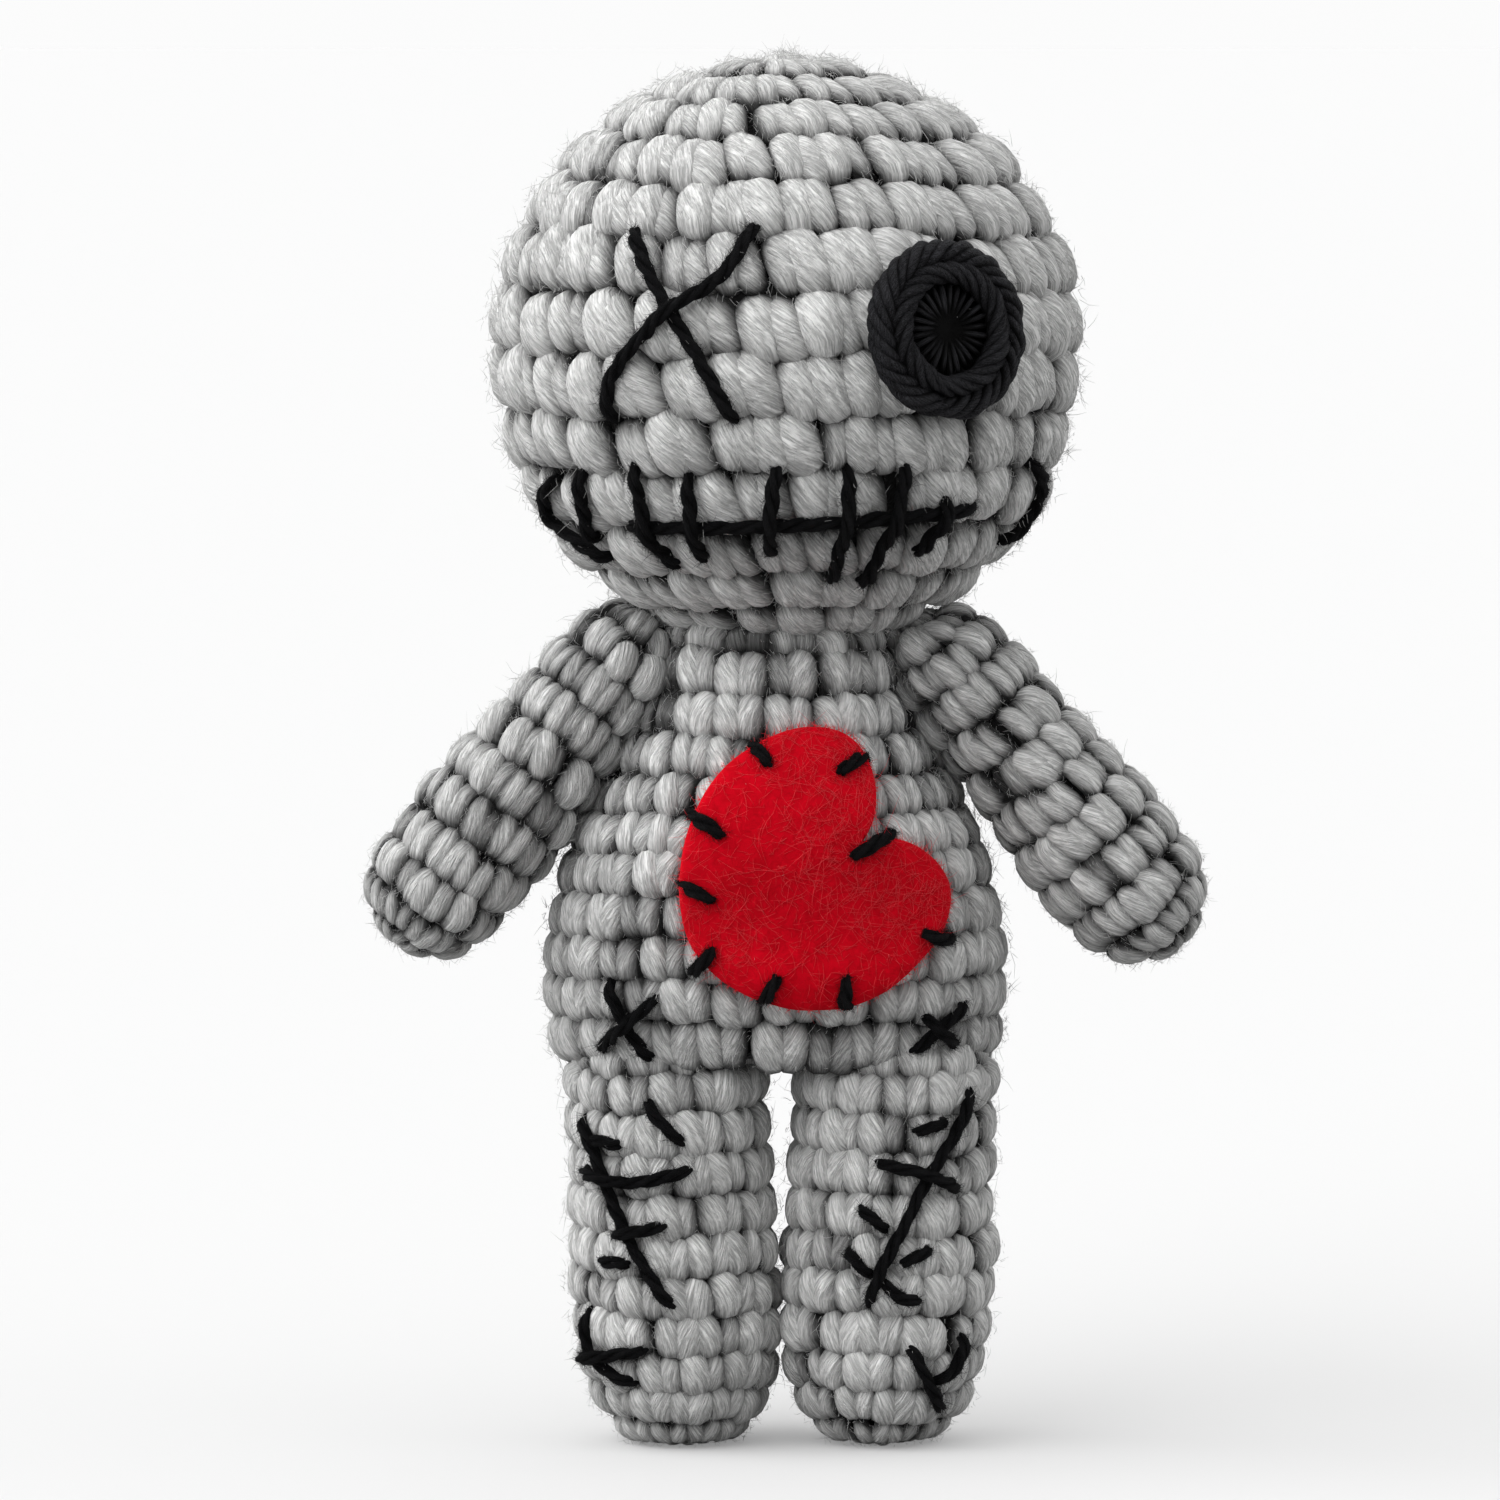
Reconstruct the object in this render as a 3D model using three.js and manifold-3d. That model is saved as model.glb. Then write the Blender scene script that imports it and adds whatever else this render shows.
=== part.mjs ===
// Crocheted voodoo doll, about 140 mm tall: stuffed yarn shells sewn together, with yarn embroidery,
// a felt heart and a crocheted eye. Millimetres, +Z up, the doll looks along -Y and stands on Z = 0.
import * as THREE from "three";
import { mergeVertices } from "three/addons/utils/BufferGeometryUtils.js";
import Module from "manifold-3d";

// Yarn and fabric
const FABRIC = 2.6;
const BODY_GROOVE = 0.6;
const HEAD_GROOVE = 1.1;
const BODY_ROUND = 4.4;
const HEAD_ROUND = 5.8;
const GAP = 0.3;
const STITCH_RADIUS = 0.85;
const SEAM_RADIUS = 0.6;

// Legs
const HIP_HEIGHT = 34;
const HIP_RADIUS = 9.9;
const LEG_RADIUS = 10.6;
const LEG_SPACE = 0.5;
const SOLE_RADIUS = 3.5;
const FOOT_HEIGHT = 13;
const LEG_MOUTH = 4;

// Torso
const HIP_ROOM = 4.4;
const HIP_EASE = 1.4;
const HIP_CORNER = 2.4;
const TORSO_LENGTH = 33.1;
const BELLY_WIDTH = 47;
const BELLY_DEPTH = 31;
const BELLY_RISE = 11.5;
const CHEST_WIDTH = 31;
const CHEST_DROP = 2.5;
const NECK_RADIUS = 12.6;
const NECK_BEND = 33;
const NECK_MOUTH = 5.6;

// Head
const HEAD_RADIUS = 29.8;
const NECK_SINK = 3.9;

// Arms
const SHOULDER_RISE = 3;
const ARM_ROOT_RADIUS = 5.6;
const ARM_PINCH_RADIUS = 5.2;
const ARM_RADIUS = 8;
const ARM_LENGTH = 34.5;
const ARM_LIFT = 10.5;
const ARM_MOUTH = 1.9;

// Eye and heart
const EYE_RADIUS = 8.5;
const EYE_THICKNESS = 2.6;
const EYE_TURN = 30.3;
const EYE_RISE = 5.0;
const FELT = 1.2;
const HEART_WIDTH = 27.3;
const HEART_LENGTH = 24.8;
const HEART_CLEFT = 4.85;
const HEART_TILT = 55.8;
const HEART_SHIFT = 1.5;
const HEART_RISE = 19;

// How far back the doll stands, so that the stitches on its front balance the box around it
const STAND_BACK = 1.1;

// Fineness of the shapes
const HEAD_SIDES = 30;
const TORSO_SIDES = 28;
const LEG_SIDES = 16;
const ARM_SIDES = 12;
const STRAND_SIDES = 5;
const POINTS_PER_ROUND = 3;
const MERGE = 1e-4;
const CLIMB = 3.6;

// Places that follow from the sizes
const legOffset = Math.max(LEG_RADIUS, HIP_RADIUS) + LEG_SPACE / 2;
const rimHeight = HIP_HEIGHT + HIP_ROOM;
const rimWidth = legOffset + HIP_RADIUS + HIP_EASE;
const rimDepth = HIP_RADIUS + HIP_EASE;
const neckHeight = rimHeight + TORSO_LENGTH;
const neckToHead = NECK_RADIUS + HEAD_RADIUS - NECK_SINK;

const wasm = await Module();
wasm.setup();

const greyYarn = new THREE.MeshStandardMaterial({ name: "grey_yarn", color: 0xa8a8a6, roughness: 0.95 });
const blackYarn = new THREE.MeshStandardMaterial({ name: "black_yarn", color: 0x17171a, roughness: 0.95 });
const redFelt = new THREE.MeshStandardMaterial({ name: "red_felt", color: 0xb80516, roughness: 0.95 });
const fibrefill = new THREE.MeshStandardMaterial({ name: "fibrefill", color: 0xf0efea, roughness: 1 });

const radians = THREE.MathUtils.degToRad;
const range = (count) => Array.from({ length: count }, (_, i) => i);

// A closed geometry as a solid that can be cut
function solid(geometry) {
  const bare = new THREE.BufferGeometry();
  bare.setAttribute("position", geometry.getAttribute("position"));
  bare.setIndex(geometry.getIndex());
  const merged = mergeVertices(bare, MERGE);
  return new wasm.Manifold(new wasm.Mesh({
    numProp: 3,
    vertProperties: new Float32Array(merged.getAttribute("position").array),
    triVerts: new Uint32Array(merged.getIndex().array),
  }));
}

// A solid as a named mesh
function meshOf(name, shape, material) {
  const cut = shape.getMesh();
  const geometry = new THREE.BufferGeometry();
  geometry.setAttribute("position", new THREE.BufferAttribute(cut.vertProperties, 3));
  geometry.setIndex(new THREE.BufferAttribute(cut.triVerts, 1));
  geometry.computeVertexNormals();
  return named(name, geometry, material);
}

function named(name, geometry, material) {
  const mesh = new THREE.Mesh(geometry, material);
  mesh.name = name;
  return mesh;
}

// An outline of radii and heights turned about Z, its depth squeezed at each height
function revolve(outline, sides, depthAt = () => 1) {
  const geometry = new THREE.LatheGeometry(outline, sides).rotateX(Math.PI / 2);
  const position = geometry.getAttribute("position");
  for (let i = 0; i < position.count; i++) {
    position.setY(i, position.getY(i) * depthAt(position.getZ(i)));
  }
  return solid(geometry);
}

function ball(radius, x, z, sides = 20) {
  return solid(new THREE.SphereGeometry(radius, sides, Math.round(sides * 0.6)).translate(x, 0, z));
}

// The outline of a crocheted wall, where every round bulges between two grooves
function crocheted(path, roundHeight, groove) {
  const rounds = Math.max(1, Math.round(path.getLength() / roundHeight));
  const steps = rounds * POINTS_PER_ROUND;
  return range(steps + 1).map((i) => {
    const at = path.getPointAt(i / steps);
    const along = path.getTangentAt(i / steps);
    const sink = groove * (1 - Math.abs(Math.sin((Math.PI * i) / POINTS_PER_ROUND)));
    const radius = Math.max(0, at.x - along.y * sink);
    return new THREE.Vector2(radius < 0.05 ? 0 : radius, at.y + along.x * sink);
  });
}

// The same wall without rounds, set in by a thickness: the hollow of a shell or its stuffing
function inset(path, thickness, steps) {
  return range(steps + 1).map((i) => {
    const at = path.getPointAt(i / steps);
    const along = path.getTangentAt(i / steps);
    const radius = Math.max(0, at.x - along.y * thickness);
    return new THREE.Vector2(radius < 0.05 ? 0 : radius, at.y + along.x * thickness);
  });
}

// The radius of an outline at a height
const sampled = new Map();

function radiusAt(path, height) {
  if (!sampled.has(path)) {
    sampled.set(path, path.getSpacedPoints(240));
  }
  const points = sampled.get(path);
  const above = Math.max(1, points.findIndex((point) => point.y >= height));
  const low = points[above - 1];
  const high = points[above];
  const share = THREE.MathUtils.clamp((height - low.y) / (high.y - low.y), 0, 1);
  return THREE.MathUtils.lerp(low.x, high.x, share);
}

// Torso: a pear of crocheted rounds, flat below with a cup over each leg, a round neck above
const neckBend = radians(NECK_BEND);
const torsoPath = new THREE.Path();
torsoPath.moveTo(rimWidth - HIP_CORNER, rimHeight);
torsoPath.absarc(rimWidth - HIP_CORNER, rimHeight + HIP_CORNER, HIP_CORNER, -Math.PI / 2, 0, false);
torsoPath.splineThru([
  new THREE.Vector2(BELLY_WIDTH / 2, rimHeight + BELLY_RISE),
  new THREE.Vector2(CHEST_WIDTH / 2, neckHeight - CHEST_DROP),
  new THREE.Vector2(NECK_RADIUS * Math.cos(neckBend), neckHeight + NECK_RADIUS * Math.sin(neckBend)),
]);
torsoPath.absarc(0, neckHeight, NECK_RADIUS, neckBend, Math.PI / 2, false);

function torsoDepthAt(height) {
  const belly = rimHeight + BELLY_RISE;
  const bellyShare = BELLY_DEPTH / BELLY_WIDTH;
  if (height < belly) {
    const share = THREE.MathUtils.smoothstep(height, rimHeight, belly);
    return THREE.MathUtils.lerp(rimDepth / rimWidth, bellyShare, share);
  }
  return THREE.MathUtils.lerp(bellyShare, 1, THREE.MathUtils.smoothstep(height, belly, neckHeight));
}

function torsoSolid(outline, sides) {
  const floor = new THREE.Vector2(0, outline[0].y);
  return revolve([floor, ...outline], sides, torsoDepthAt);
}

function hipCups(radius) {
  return ball(radius, legOffset, HIP_HEIGHT).add(ball(radius, -legOffset, HIP_HEIGHT));
}

function torsoPoint(angle, height, lift) {
  const width = radiusAt(torsoPath, height) + lift;
  const depth = radiusAt(torsoPath, height) * torsoDepthAt(height) + lift;
  return new THREE.Vector3(width * Math.sin(angle), -depth * Math.cos(angle), height);
}

function torso() {
  const neckHole = solid(new THREE.CylinderGeometry(NECK_MOUTH, NECK_MOUTH, NECK_RADIUS, 16)
    .rotateX(Math.PI / 2).translate(0, 0, neckHeight + NECK_RADIUS));
  const hollow = torsoSolid(inset(torsoPath, FABRIC, 12), 18).subtract(hipCups(HIP_RADIUS + GAP + FABRIC));
  const shell = torsoSolid(crocheted(torsoPath, BODY_ROUND, BODY_GROOVE), TORSO_SIDES)
    .subtract(hollow).subtract(neckHole).subtract(hipCups(HIP_RADIUS + GAP));
  const stuffing = torsoSolid(inset(torsoPath, FABRIC + GAP, 12), 18)
    .subtract(hipCups(HIP_RADIUS + FABRIC + 2 * GAP));
  const group = new THREE.Group();
  group.add(meshOf("torso_shell", shell, greyYarn));
  group.add(meshOf("torso_stuffing", stuffing, fibrefill));
  return group;
}

// Legs: a round hip, a slightly fuller ankle and a rounded foot with a flat sole
const legPath = new THREE.Path();
legPath.moveTo(SOLE_RADIUS, 0);
legPath.absellipse(SOLE_RADIUS, FOOT_HEIGHT, LEG_RADIUS - SOLE_RADIUS, FOOT_HEIGHT, -Math.PI / 2, 0, false);
legPath.splineThru([
  new THREE.Vector2((LEG_RADIUS + HIP_RADIUS) / 2, (FOOT_HEIGHT + HIP_HEIGHT) / 2),
  new THREE.Vector2(HIP_RADIUS, HIP_HEIGHT),
]);
legPath.absarc(0, HIP_HEIGHT, HIP_RADIUS, 0, Math.PI / 2, false);

function legSolid(outline, sides) {
  const flat = new THREE.Vector2(outline[0].x, Math.max(0, outline[0].y));
  return revolve([new THREE.Vector2(0, flat.y), flat, ...outline.slice(1)], sides);
}

function legPoint(angle, height, lift) {
  const radius = radiusAt(legPath, height) + lift;
  return new THREE.Vector3(radius * Math.sin(angle), -radius * Math.cos(angle), height);
}

function leg(side, name) {
  const outer = crocheted(legPath, BODY_ROUND, BODY_GROOVE);
  outer[0] = new THREE.Vector2(SOLE_RADIUS, 0);
  const hipHole = solid(new THREE.CylinderGeometry(LEG_MOUTH, LEG_MOUTH, HIP_RADIUS, 14)
    .rotateX(Math.PI / 2).translate(0, 0, HIP_HEIGHT + HIP_RADIUS));
  const shell = legSolid(outer, LEG_SIDES).subtract(legSolid(inset(legPath, FABRIC, 9), 12)).subtract(hipHole);
  const stuffing = legSolid(inset(legPath, FABRIC + GAP, 9), 12);
  const group = new THREE.Group();
  group.add(meshOf(`${name}_leg_shell`, shell, greyYarn));
  group.add(meshOf(`${name}_leg_stuffing`, stuffing, fibrefill));
  group.position.x = side * legOffset;
  return group;
}

// Head: a ball of crocheted rounds with a socket below that takes the round neck
const headPath = new THREE.EllipseCurve(0, 0, HEAD_RADIUS, HEAD_RADIUS, -Math.PI / 2, Math.PI / 2);

function headPoint(angle, rise, lift) {
  const radius = HEAD_RADIUS + lift;
  const level = radius * Math.cos(rise);
  return new THREE.Vector3(level * Math.sin(angle), -level * Math.cos(angle), radius * Math.sin(rise));
}

function head() {
  const shell = revolve(crocheted(headPath, HEAD_ROUND, HEAD_GROOVE), HEAD_SIDES)
    .subtract(revolve(inset(headPath, FABRIC, 12), 18))
    .subtract(ball(NECK_RADIUS + GAP, 0, -neckToHead));
  const stuffing = revolve(inset(headPath, FABRIC + GAP, 12), 18)
    .subtract(ball(NECK_RADIUS + 2 * GAP, 0, -neckToHead));
  const group = new THREE.Group();
  group.add(meshOf("head_shell", shell, greyYarn));
  group.add(meshOf("head_stuffing", stuffing, fibrefill));
  group.position.z = neckHeight + neckToHead;
  return group;
}

// Arms: each hangs from a round root that lies against the side of the torso under the head
const shoulderHeight = neckHeight + SHOULDER_RISE;
const shoulderWidth = radiusAt(torsoPath, shoulderHeight);
const shoulderSlope = (radiusAt(torsoPath, shoulderHeight + 0.5) - radiusAt(torsoPath, shoulderHeight - 0.5));
const seat = new THREE.Vector3(1, 0, -shoulderSlope).normalize();
const armSpread = Math.atan2(seat.z, seat.x) + radians(ARM_LIFT);

const armPath = new THREE.Path();
armPath.moveTo(0, -ARM_LENGTH);
armPath.absellipse(0, ARM_RADIUS - ARM_LENGTH, ARM_RADIUS * 0.97, ARM_RADIUS, -Math.PI / 2, 0, false);
armPath.splineThru([
  new THREE.Vector2(ARM_RADIUS, -ARM_LENGTH * 0.5),
  new THREE.Vector2(ARM_PINCH_RADIUS + 0.6, -ARM_ROOT_RADIUS * 1.25),
  new THREE.Vector2(ARM_PINCH_RADIUS, -ARM_ROOT_RADIUS * 0.75),
  new THREE.Vector2(ARM_ROOT_RADIUS, 0),
]);
armPath.absarc(0, 0, ARM_ROOT_RADIUS, 0, Math.PI / 2, false);

function shoulder(side) {
  const reach = ARM_ROOT_RADIUS + GAP;
  return new THREE.Vector3(side * (shoulderWidth + seat.x * reach), 0, shoulderHeight + seat.z * reach);
}

function arm(side, name) {
  const towardTorso = new THREE.Vector3(-side * seat.x, 0, -seat.z)
    .applyAxisAngle(new THREE.Vector3(0, 1, 0), side * armSpread);
  const hole = new THREE.CylinderGeometry(ARM_MOUTH, ARM_MOUTH, 2 * ARM_ROOT_RADIUS, 10)
    .translate(0, ARM_ROOT_RADIUS, 0)
    .applyQuaternion(new THREE.Quaternion().setFromUnitVectors(new THREE.Vector3(0, 1, 0), towardTorso));
  const shell = revolve(crocheted(armPath, BODY_ROUND, BODY_GROOVE), ARM_SIDES)
    .subtract(revolve(inset(armPath, FABRIC, 12), 8))
    .subtract(solid(hole));
  const stuffing = revolve(inset(armPath, FABRIC + GAP, 12), 8);
  const group = new THREE.Group();
  group.add(meshOf(`${name}_arm_shell`, shell, greyYarn));
  group.add(meshOf(`${name}_arm_stuffing`, stuffing, fibrefill));
  group.position.copy(shoulder(side));
  group.rotation.y = -side * armSpread;
  return group;
}

// Seams: a ring of sewing yarn under the chin and one between each arm root and the torso
function neckSeam() {
  const reach = NECK_RADIUS + GAP + SEAM_RADIUS;
  const clear = HEAD_RADIUS + GAP + SEAM_RADIUS;
  const cosine = (reach ** 2 + neckToHead ** 2 - clear ** 2) / (2 * reach * neckToHead);
  const ring = new THREE.TorusGeometry(reach * Math.sqrt(1 - cosine ** 2), SEAM_RADIUS, STRAND_SIDES, 20);
  const mesh = named("neck_seam", ring, greyYarn);
  mesh.position.z = neckHeight + reach * cosine;
  return mesh;
}

function shoulderSeam(side, name) {
  const depth = ARM_ROOT_RADIUS - SEAM_RADIUS;
  const reach = ARM_ROOT_RADIUS + GAP + SEAM_RADIUS;
  const ring = new THREE.TorusGeometry(Math.sqrt(reach ** 2 - depth ** 2), SEAM_RADIUS, STRAND_SIDES, 14);
  const outward = new THREE.Vector3(side * seat.x, 0, seat.z);
  const mesh = named(`${name}_shoulder_seam`, ring, greyYarn);
  mesh.position.copy(shoulder(side)).addScaledVector(outward, -depth);
  mesh.quaternion.setFromUnitVectors(new THREE.Vector3(0, 0, 1), outward);
  return mesh;
}

// Eye: two crocheted rounds, hollow behind to sit on the ball of the head
function eye() {
  const seatRadius = HEAD_RADIUS + GAP;
  const back = range(5).map((i) => {
    const radius = (EYE_RADIUS * 0.92 * i) / 4;
    return new THREE.Vector2(radius, Math.sqrt(seatRadius ** 2 - radius ** 2));
  });
  const front = range(10).map((i) => {
    const share = 1 - i / 9;
    const radius = EYE_RADIUS * share;
    const puff = Math.abs(Math.sin(Math.PI * (share * 2 + 0.06)));
    const thickness = EYE_THICKNESS * (0.45 + 0.55 * puff);
    return new THREE.Vector2(radius, Math.sqrt(seatRadius ** 2 - radius ** 2) + thickness);
  });
  const turned = revolve([...back, ...front], 20);
  const mesh = meshOf("eye_disc", turned, blackYarn);
  mesh.quaternion.setFromUnitVectors(
    new THREE.Vector3(0, 0, 1),
    headPoint(radians(EYE_TURN), radians(EYE_RISE), 0).normalize(),
  );
  return mesh;
}

// Heart: felt cut to a heart and laid over the front of the torso
function heartOutline() {
  const half = HEART_WIDTH / 2;
  const long = HEART_LENGTH;
  const cleft = HEART_LENGTH - HEART_CLEFT;
  const outline = new THREE.Shape();
  outline.moveTo(0, 0);
  outline.bezierCurveTo(0.36 * half, 0, half, 0.26 * long, half, 0.6 * long);
  outline.bezierCurveTo(half, 0.86 * long, 0.78 * half, long, 0.52 * half, long);
  outline.bezierCurveTo(0.29 * half, long, 0.06 * half, long - 0.4 * HEART_CLEFT, 0, cleft);
  outline.bezierCurveTo(-0.06 * half, long - 0.4 * HEART_CLEFT, -0.29 * half, long, -0.52 * half, long);
  outline.bezierCurveTo(-0.78 * half, long, -half, 0.86 * long, -half, 0.6 * long);
  outline.bezierCurveTo(-half, 0.26 * long, -0.36 * half, 0, 0, 0);
  return outline;
}

// A point of the flat heart pattern, upright with its tip at the origin, as a place on the front
function heartPlace(point) {
  const up = point.y - HEART_LENGTH / 2;
  const tilt = radians(HEART_TILT);
  return new THREE.Vector2(
    HEART_SHIFT + point.x * Math.cos(tilt) + up * Math.sin(tilt),
    rimHeight + HEART_RISE - point.x * Math.sin(tilt) + up * Math.cos(tilt),
  );
}

function onFront(place, lift) {
  const width = radiusAt(torsoPath, place.y) + lift;
  return torsoPoint(Math.asin(THREE.MathUtils.clamp(place.x / width, -0.98, 0.98)), place.y, lift);
}

function heart() {
  const placed = heartOutline().getSpacedPoints(40).slice(0, -1).map(heartPlace);
  const prism = new THREE.ExtrudeGeometry(new THREE.Shape(placed), { depth: 2 * BELLY_DEPTH, bevelEnabled: false })
    .rotateX(Math.PI / 2);
  const smooth = (lift) => torsoSolid(inset(torsoPath, -lift, 20), TORSO_SIDES);
  const felt = smooth(GAP + FELT).subtract(smooth(GAP)).intersect(solid(prism));
  return meshOf("heart_patch", felt, redFelt);
}

// Yarn stitches: a round strand along a line over a surface, lifted where it crosses another strand
const strand = new THREE.Shape(range(STRAND_SIDES).map((i) => new THREE.Vector2(
  STITCH_RADIUS * Math.cos((2 * i * Math.PI) / STRAND_SIDES),
  STITCH_RADIUS * Math.sin((2 * i * Math.PI) / STRAND_SIDES),
)));

function yarn(name, points, material = blackYarn) {
  const path = new THREE.CatmullRomCurve3(points);
  const steps = points.length > 4 ? points.length + 1 : points.length;
  return named(name, new THREE.ExtrudeGeometry(strand, { steps, extrudePath: path }), material);
}

// The line of a stitch over its surface; waypoints are pairs of degrees and heights
function lineOver(surface, waypoints) {
  const plan = new THREE.CatmullRomCurve3(waypoints.map(([angle, height]) => new THREE.Vector3(angle, height, 0)));
  return (share, lift) => {
    const at = plan.getPoint(share);
    return surface(at.x, at.y, STITCH_RADIUS + GAP + lift);
  };
}

// The share of the way along a line where it comes nearest to another
function crossingShare(line, other) {
  const shares = range(61).map((i) => i / 60);
  const beneath = shares.map((share) => other(share, 0));
  const apart = shares.map((share) => Math.min(...beneath.map((point) => point.distanceTo(line(share, 0)))));
  return shares[apart.indexOf(Math.min(...apart))];
}

// A stitch on a surface that climbs over the strand it crosses, if it crosses one
function stitch(name, surface, waypoints, crossed) {
  const line = lineOver(surface, waypoints);
  const length = range(8).reduce((sum, i) => sum + line(i / 8, 0).distanceTo(line((i + 1) / 8, 0)), 0);
  if (!crossed) {
    const plain = Math.max(3, Math.round(length / 3.2));
    return yarn(name, range(plain + 1).map((i) => line(i / plain, 0)));
  }
  const over = crossingShare(line, lineOver(surface, crossed));
  const count = Math.max(6, Math.round(length / 1.3));
  return yarn(name, range(count + 1).map((i) => {
    const away = Math.min(1, (Math.abs(i / count - over) * length) / (CLIMB * STITCH_RADIUS));
    return line(i / count, (2 * STITCH_RADIUS + 2 * GAP) * Math.cos((away * Math.PI) / 2) ** 2);
  }));
}

const onHead = (angle, rise, lift) => headPoint(radians(angle), radians(rise), lift);
const onTorso = (angle, share, lift) => torsoPoint(radians(angle), rimHeight + share * TORSO_LENGTH, lift);
const onLeg = (angle, share, lift) => legPoint(radians(angle), share * HIP_HEIGHT, lift);

function faceStitches() {
  const eyeStroke = [[-34, 26], [-22, 8.5], [-11, -12.5]];
  const mouth = [[-37, -35.6], [-18, -36], [1, -34.4], [24, -33.5], [46.5, -32.6]];
  const bars = [
    [[-33.2, -24], [-30.5, -46.5]],
    [[-20.9, -24.9], [-20.8, -45]],
    [[-1.6, -24], [-5, -45.2]],
    [[12.6, -24], [13.6, -50.5]],
    [[24.6, -23.3], [23, -50]],
    [[35.2, -25], [34.3, -42]],
  ];
  return [
    stitch("x_eye_stitch_1", onHead, eyeStroke),
    stitch("x_eye_stitch_2", onHead, [[-8, 21], [-20.5, 6], [-36.5, -11.5]], eyeStroke),
    stitch("mouth_line", onHead, mouth),
    ...bars.map((bar, i) => stitch(`mouth_bar_${i + 1}`, onHead, bar, mouth)),
    stitch("mouth_corner_1", onHead, [[-59.2, -25.6], [-65.8, -33], [-53, -45]]),
    stitch("mouth_corner_2", onHead, [[-48, -25.6], [-54, -37]]),
    stitch("mouth_corner_3", onHead, [[60, -22.5], [64.5, -33], [68, -41]]),
  ];
}

function hipStitches() {
  const right = [[-45, 0.239], [-39.6, 0.135], [-34, 0.056]];
  const left = [[50, 0.19], [34, 0.05]];
  return [
    stitch("right_hip_stitch_1", onTorso, right),
    stitch("right_hip_stitch_2", onTorso, [[-30, 0.224], [-54, 0.056]], right),
    stitch("left_hip_stitch_1", onTorso, left),
    stitch("left_hip_stitch_2", onTorso, [[34, 0.18], [51, 0.067]], left),
  ];
}

function rightLegStitches() {
  const thigh = [[-61, 0.94], [-37, 0.747], [-21, 0.606], [0.5, 0.424]];
  const ankle = [[-50, 0.4], [-46.7, 0.315], [-38, 0.224], [-25.6, 0.18]];
  return [
    stitch("right_leg_stitch_1", onLeg, thigh),
    stitch("right_leg_stitch_2", onLeg, [[-46, 0.92], [-30, 0.88]]),
    stitch("right_leg_stitch_3", onLeg, [[-58, 0.77], [10, 0.818]], thigh),
    stitch("right_leg_stitch_4", onLeg, [[-36, 0.61], [-4, 0.66]], thigh),
    stitch("right_leg_stitch_5", onLeg, [[-44, 0.53], [-28, 0.52]]),
    stitch("right_leg_stitch_6", onLeg, [[-12.7, 0.95], [4.7, 0.88]]),
    stitch("right_leg_stitch_7", onLeg, ankle),
    stitch("right_leg_stitch_8", onLeg, [[-62, 0.245], [-14, 0.29]], ankle),
  ];
}

function leftLegStitches() {
  const thigh = [[49, 0.96], [29.5, 0.87], [14.8, 0.747], [1, 0.606], [-11.6, 0.415]];
  return [
    stitch("left_leg_stitch_1", onLeg, thigh),
    stitch("left_leg_stitch_2", onLeg, [[14, 0.93], [29, 0.945]]),
    stitch("left_leg_stitch_3", onLeg, [[-8, 0.835], [42, 0.76]], thigh),
    stitch("left_leg_stitch_4", onLeg, [[-19, 0.73], [-5, 0.67]]),
    stitch("left_leg_stitch_5", onLeg, [[-28, 0.6], [-15.5, 0.54]]),
    stitch("left_leg_stitch_6", onLeg, [[4, 0.46], [20, 0.444]]),
    stitch("left_leg_stitch_7", onLeg, [[11, 0.588], [23, 0.571]]),
    stitch("left_leg_stitch_8", onLeg, [[11.6, 0.318], [24.8, 0.185], [34.3, 0.115]]),
    stitch("left_leg_stitch_9", onLeg, [[46, 0.318], [39, 0.225]]),
  ];
}

// Whip stitches over the edge of the heart, placed by the share of the way round its outline
function heartStitches() {
  const outline = heartOutline();
  const shares = [0.721, 0.598, 0.831, 0.5, 0.907, 0.328, 0.996, 0.079, 0.188];
  const low = STITCH_RADIUS + GAP;
  const high = low + FELT + GAP;
  return shares.map((share, i) => {
    const edge = outline.getPointAt(share);
    const along = outline.getTangentAt(share);
    const inward = share === 0.5 ? new THREE.Vector2(0, -1) : new THREE.Vector2(-along.y, along.x);
    const at = (distance, lift) => onFront(heartPlace(edge.clone().addScaledVector(inward, distance)), lift);
    return yarn(`heart_stitch_${i + 1}`, [at(-2.3, low), at(-1.4, high), at(0.4, high), at(2.2, high)]);
  });
}

const doll = new THREE.Group();
doll.name = "voodoo_doll";

const body = torso();
body.add(heart(), ...heartStitches(), ...hipStitches());

const top = head();
top.add(eye(), ...faceStitches());

const leftLeg = leg(1, "left");
leftLeg.add(...leftLegStitches());

const rightLeg = leg(-1, "right");
rightLeg.add(...rightLegStitches());

doll.add(body, top, leftLeg, rightLeg, arm(1, "left"), arm(-1, "right"));
doll.add(neckSeam(), shoulderSeam(1, "left"), shoulderSeam(-1, "right"));
doll.position.y = STAND_BACK;

export default doll;
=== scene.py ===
from collections import namedtuple

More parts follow.
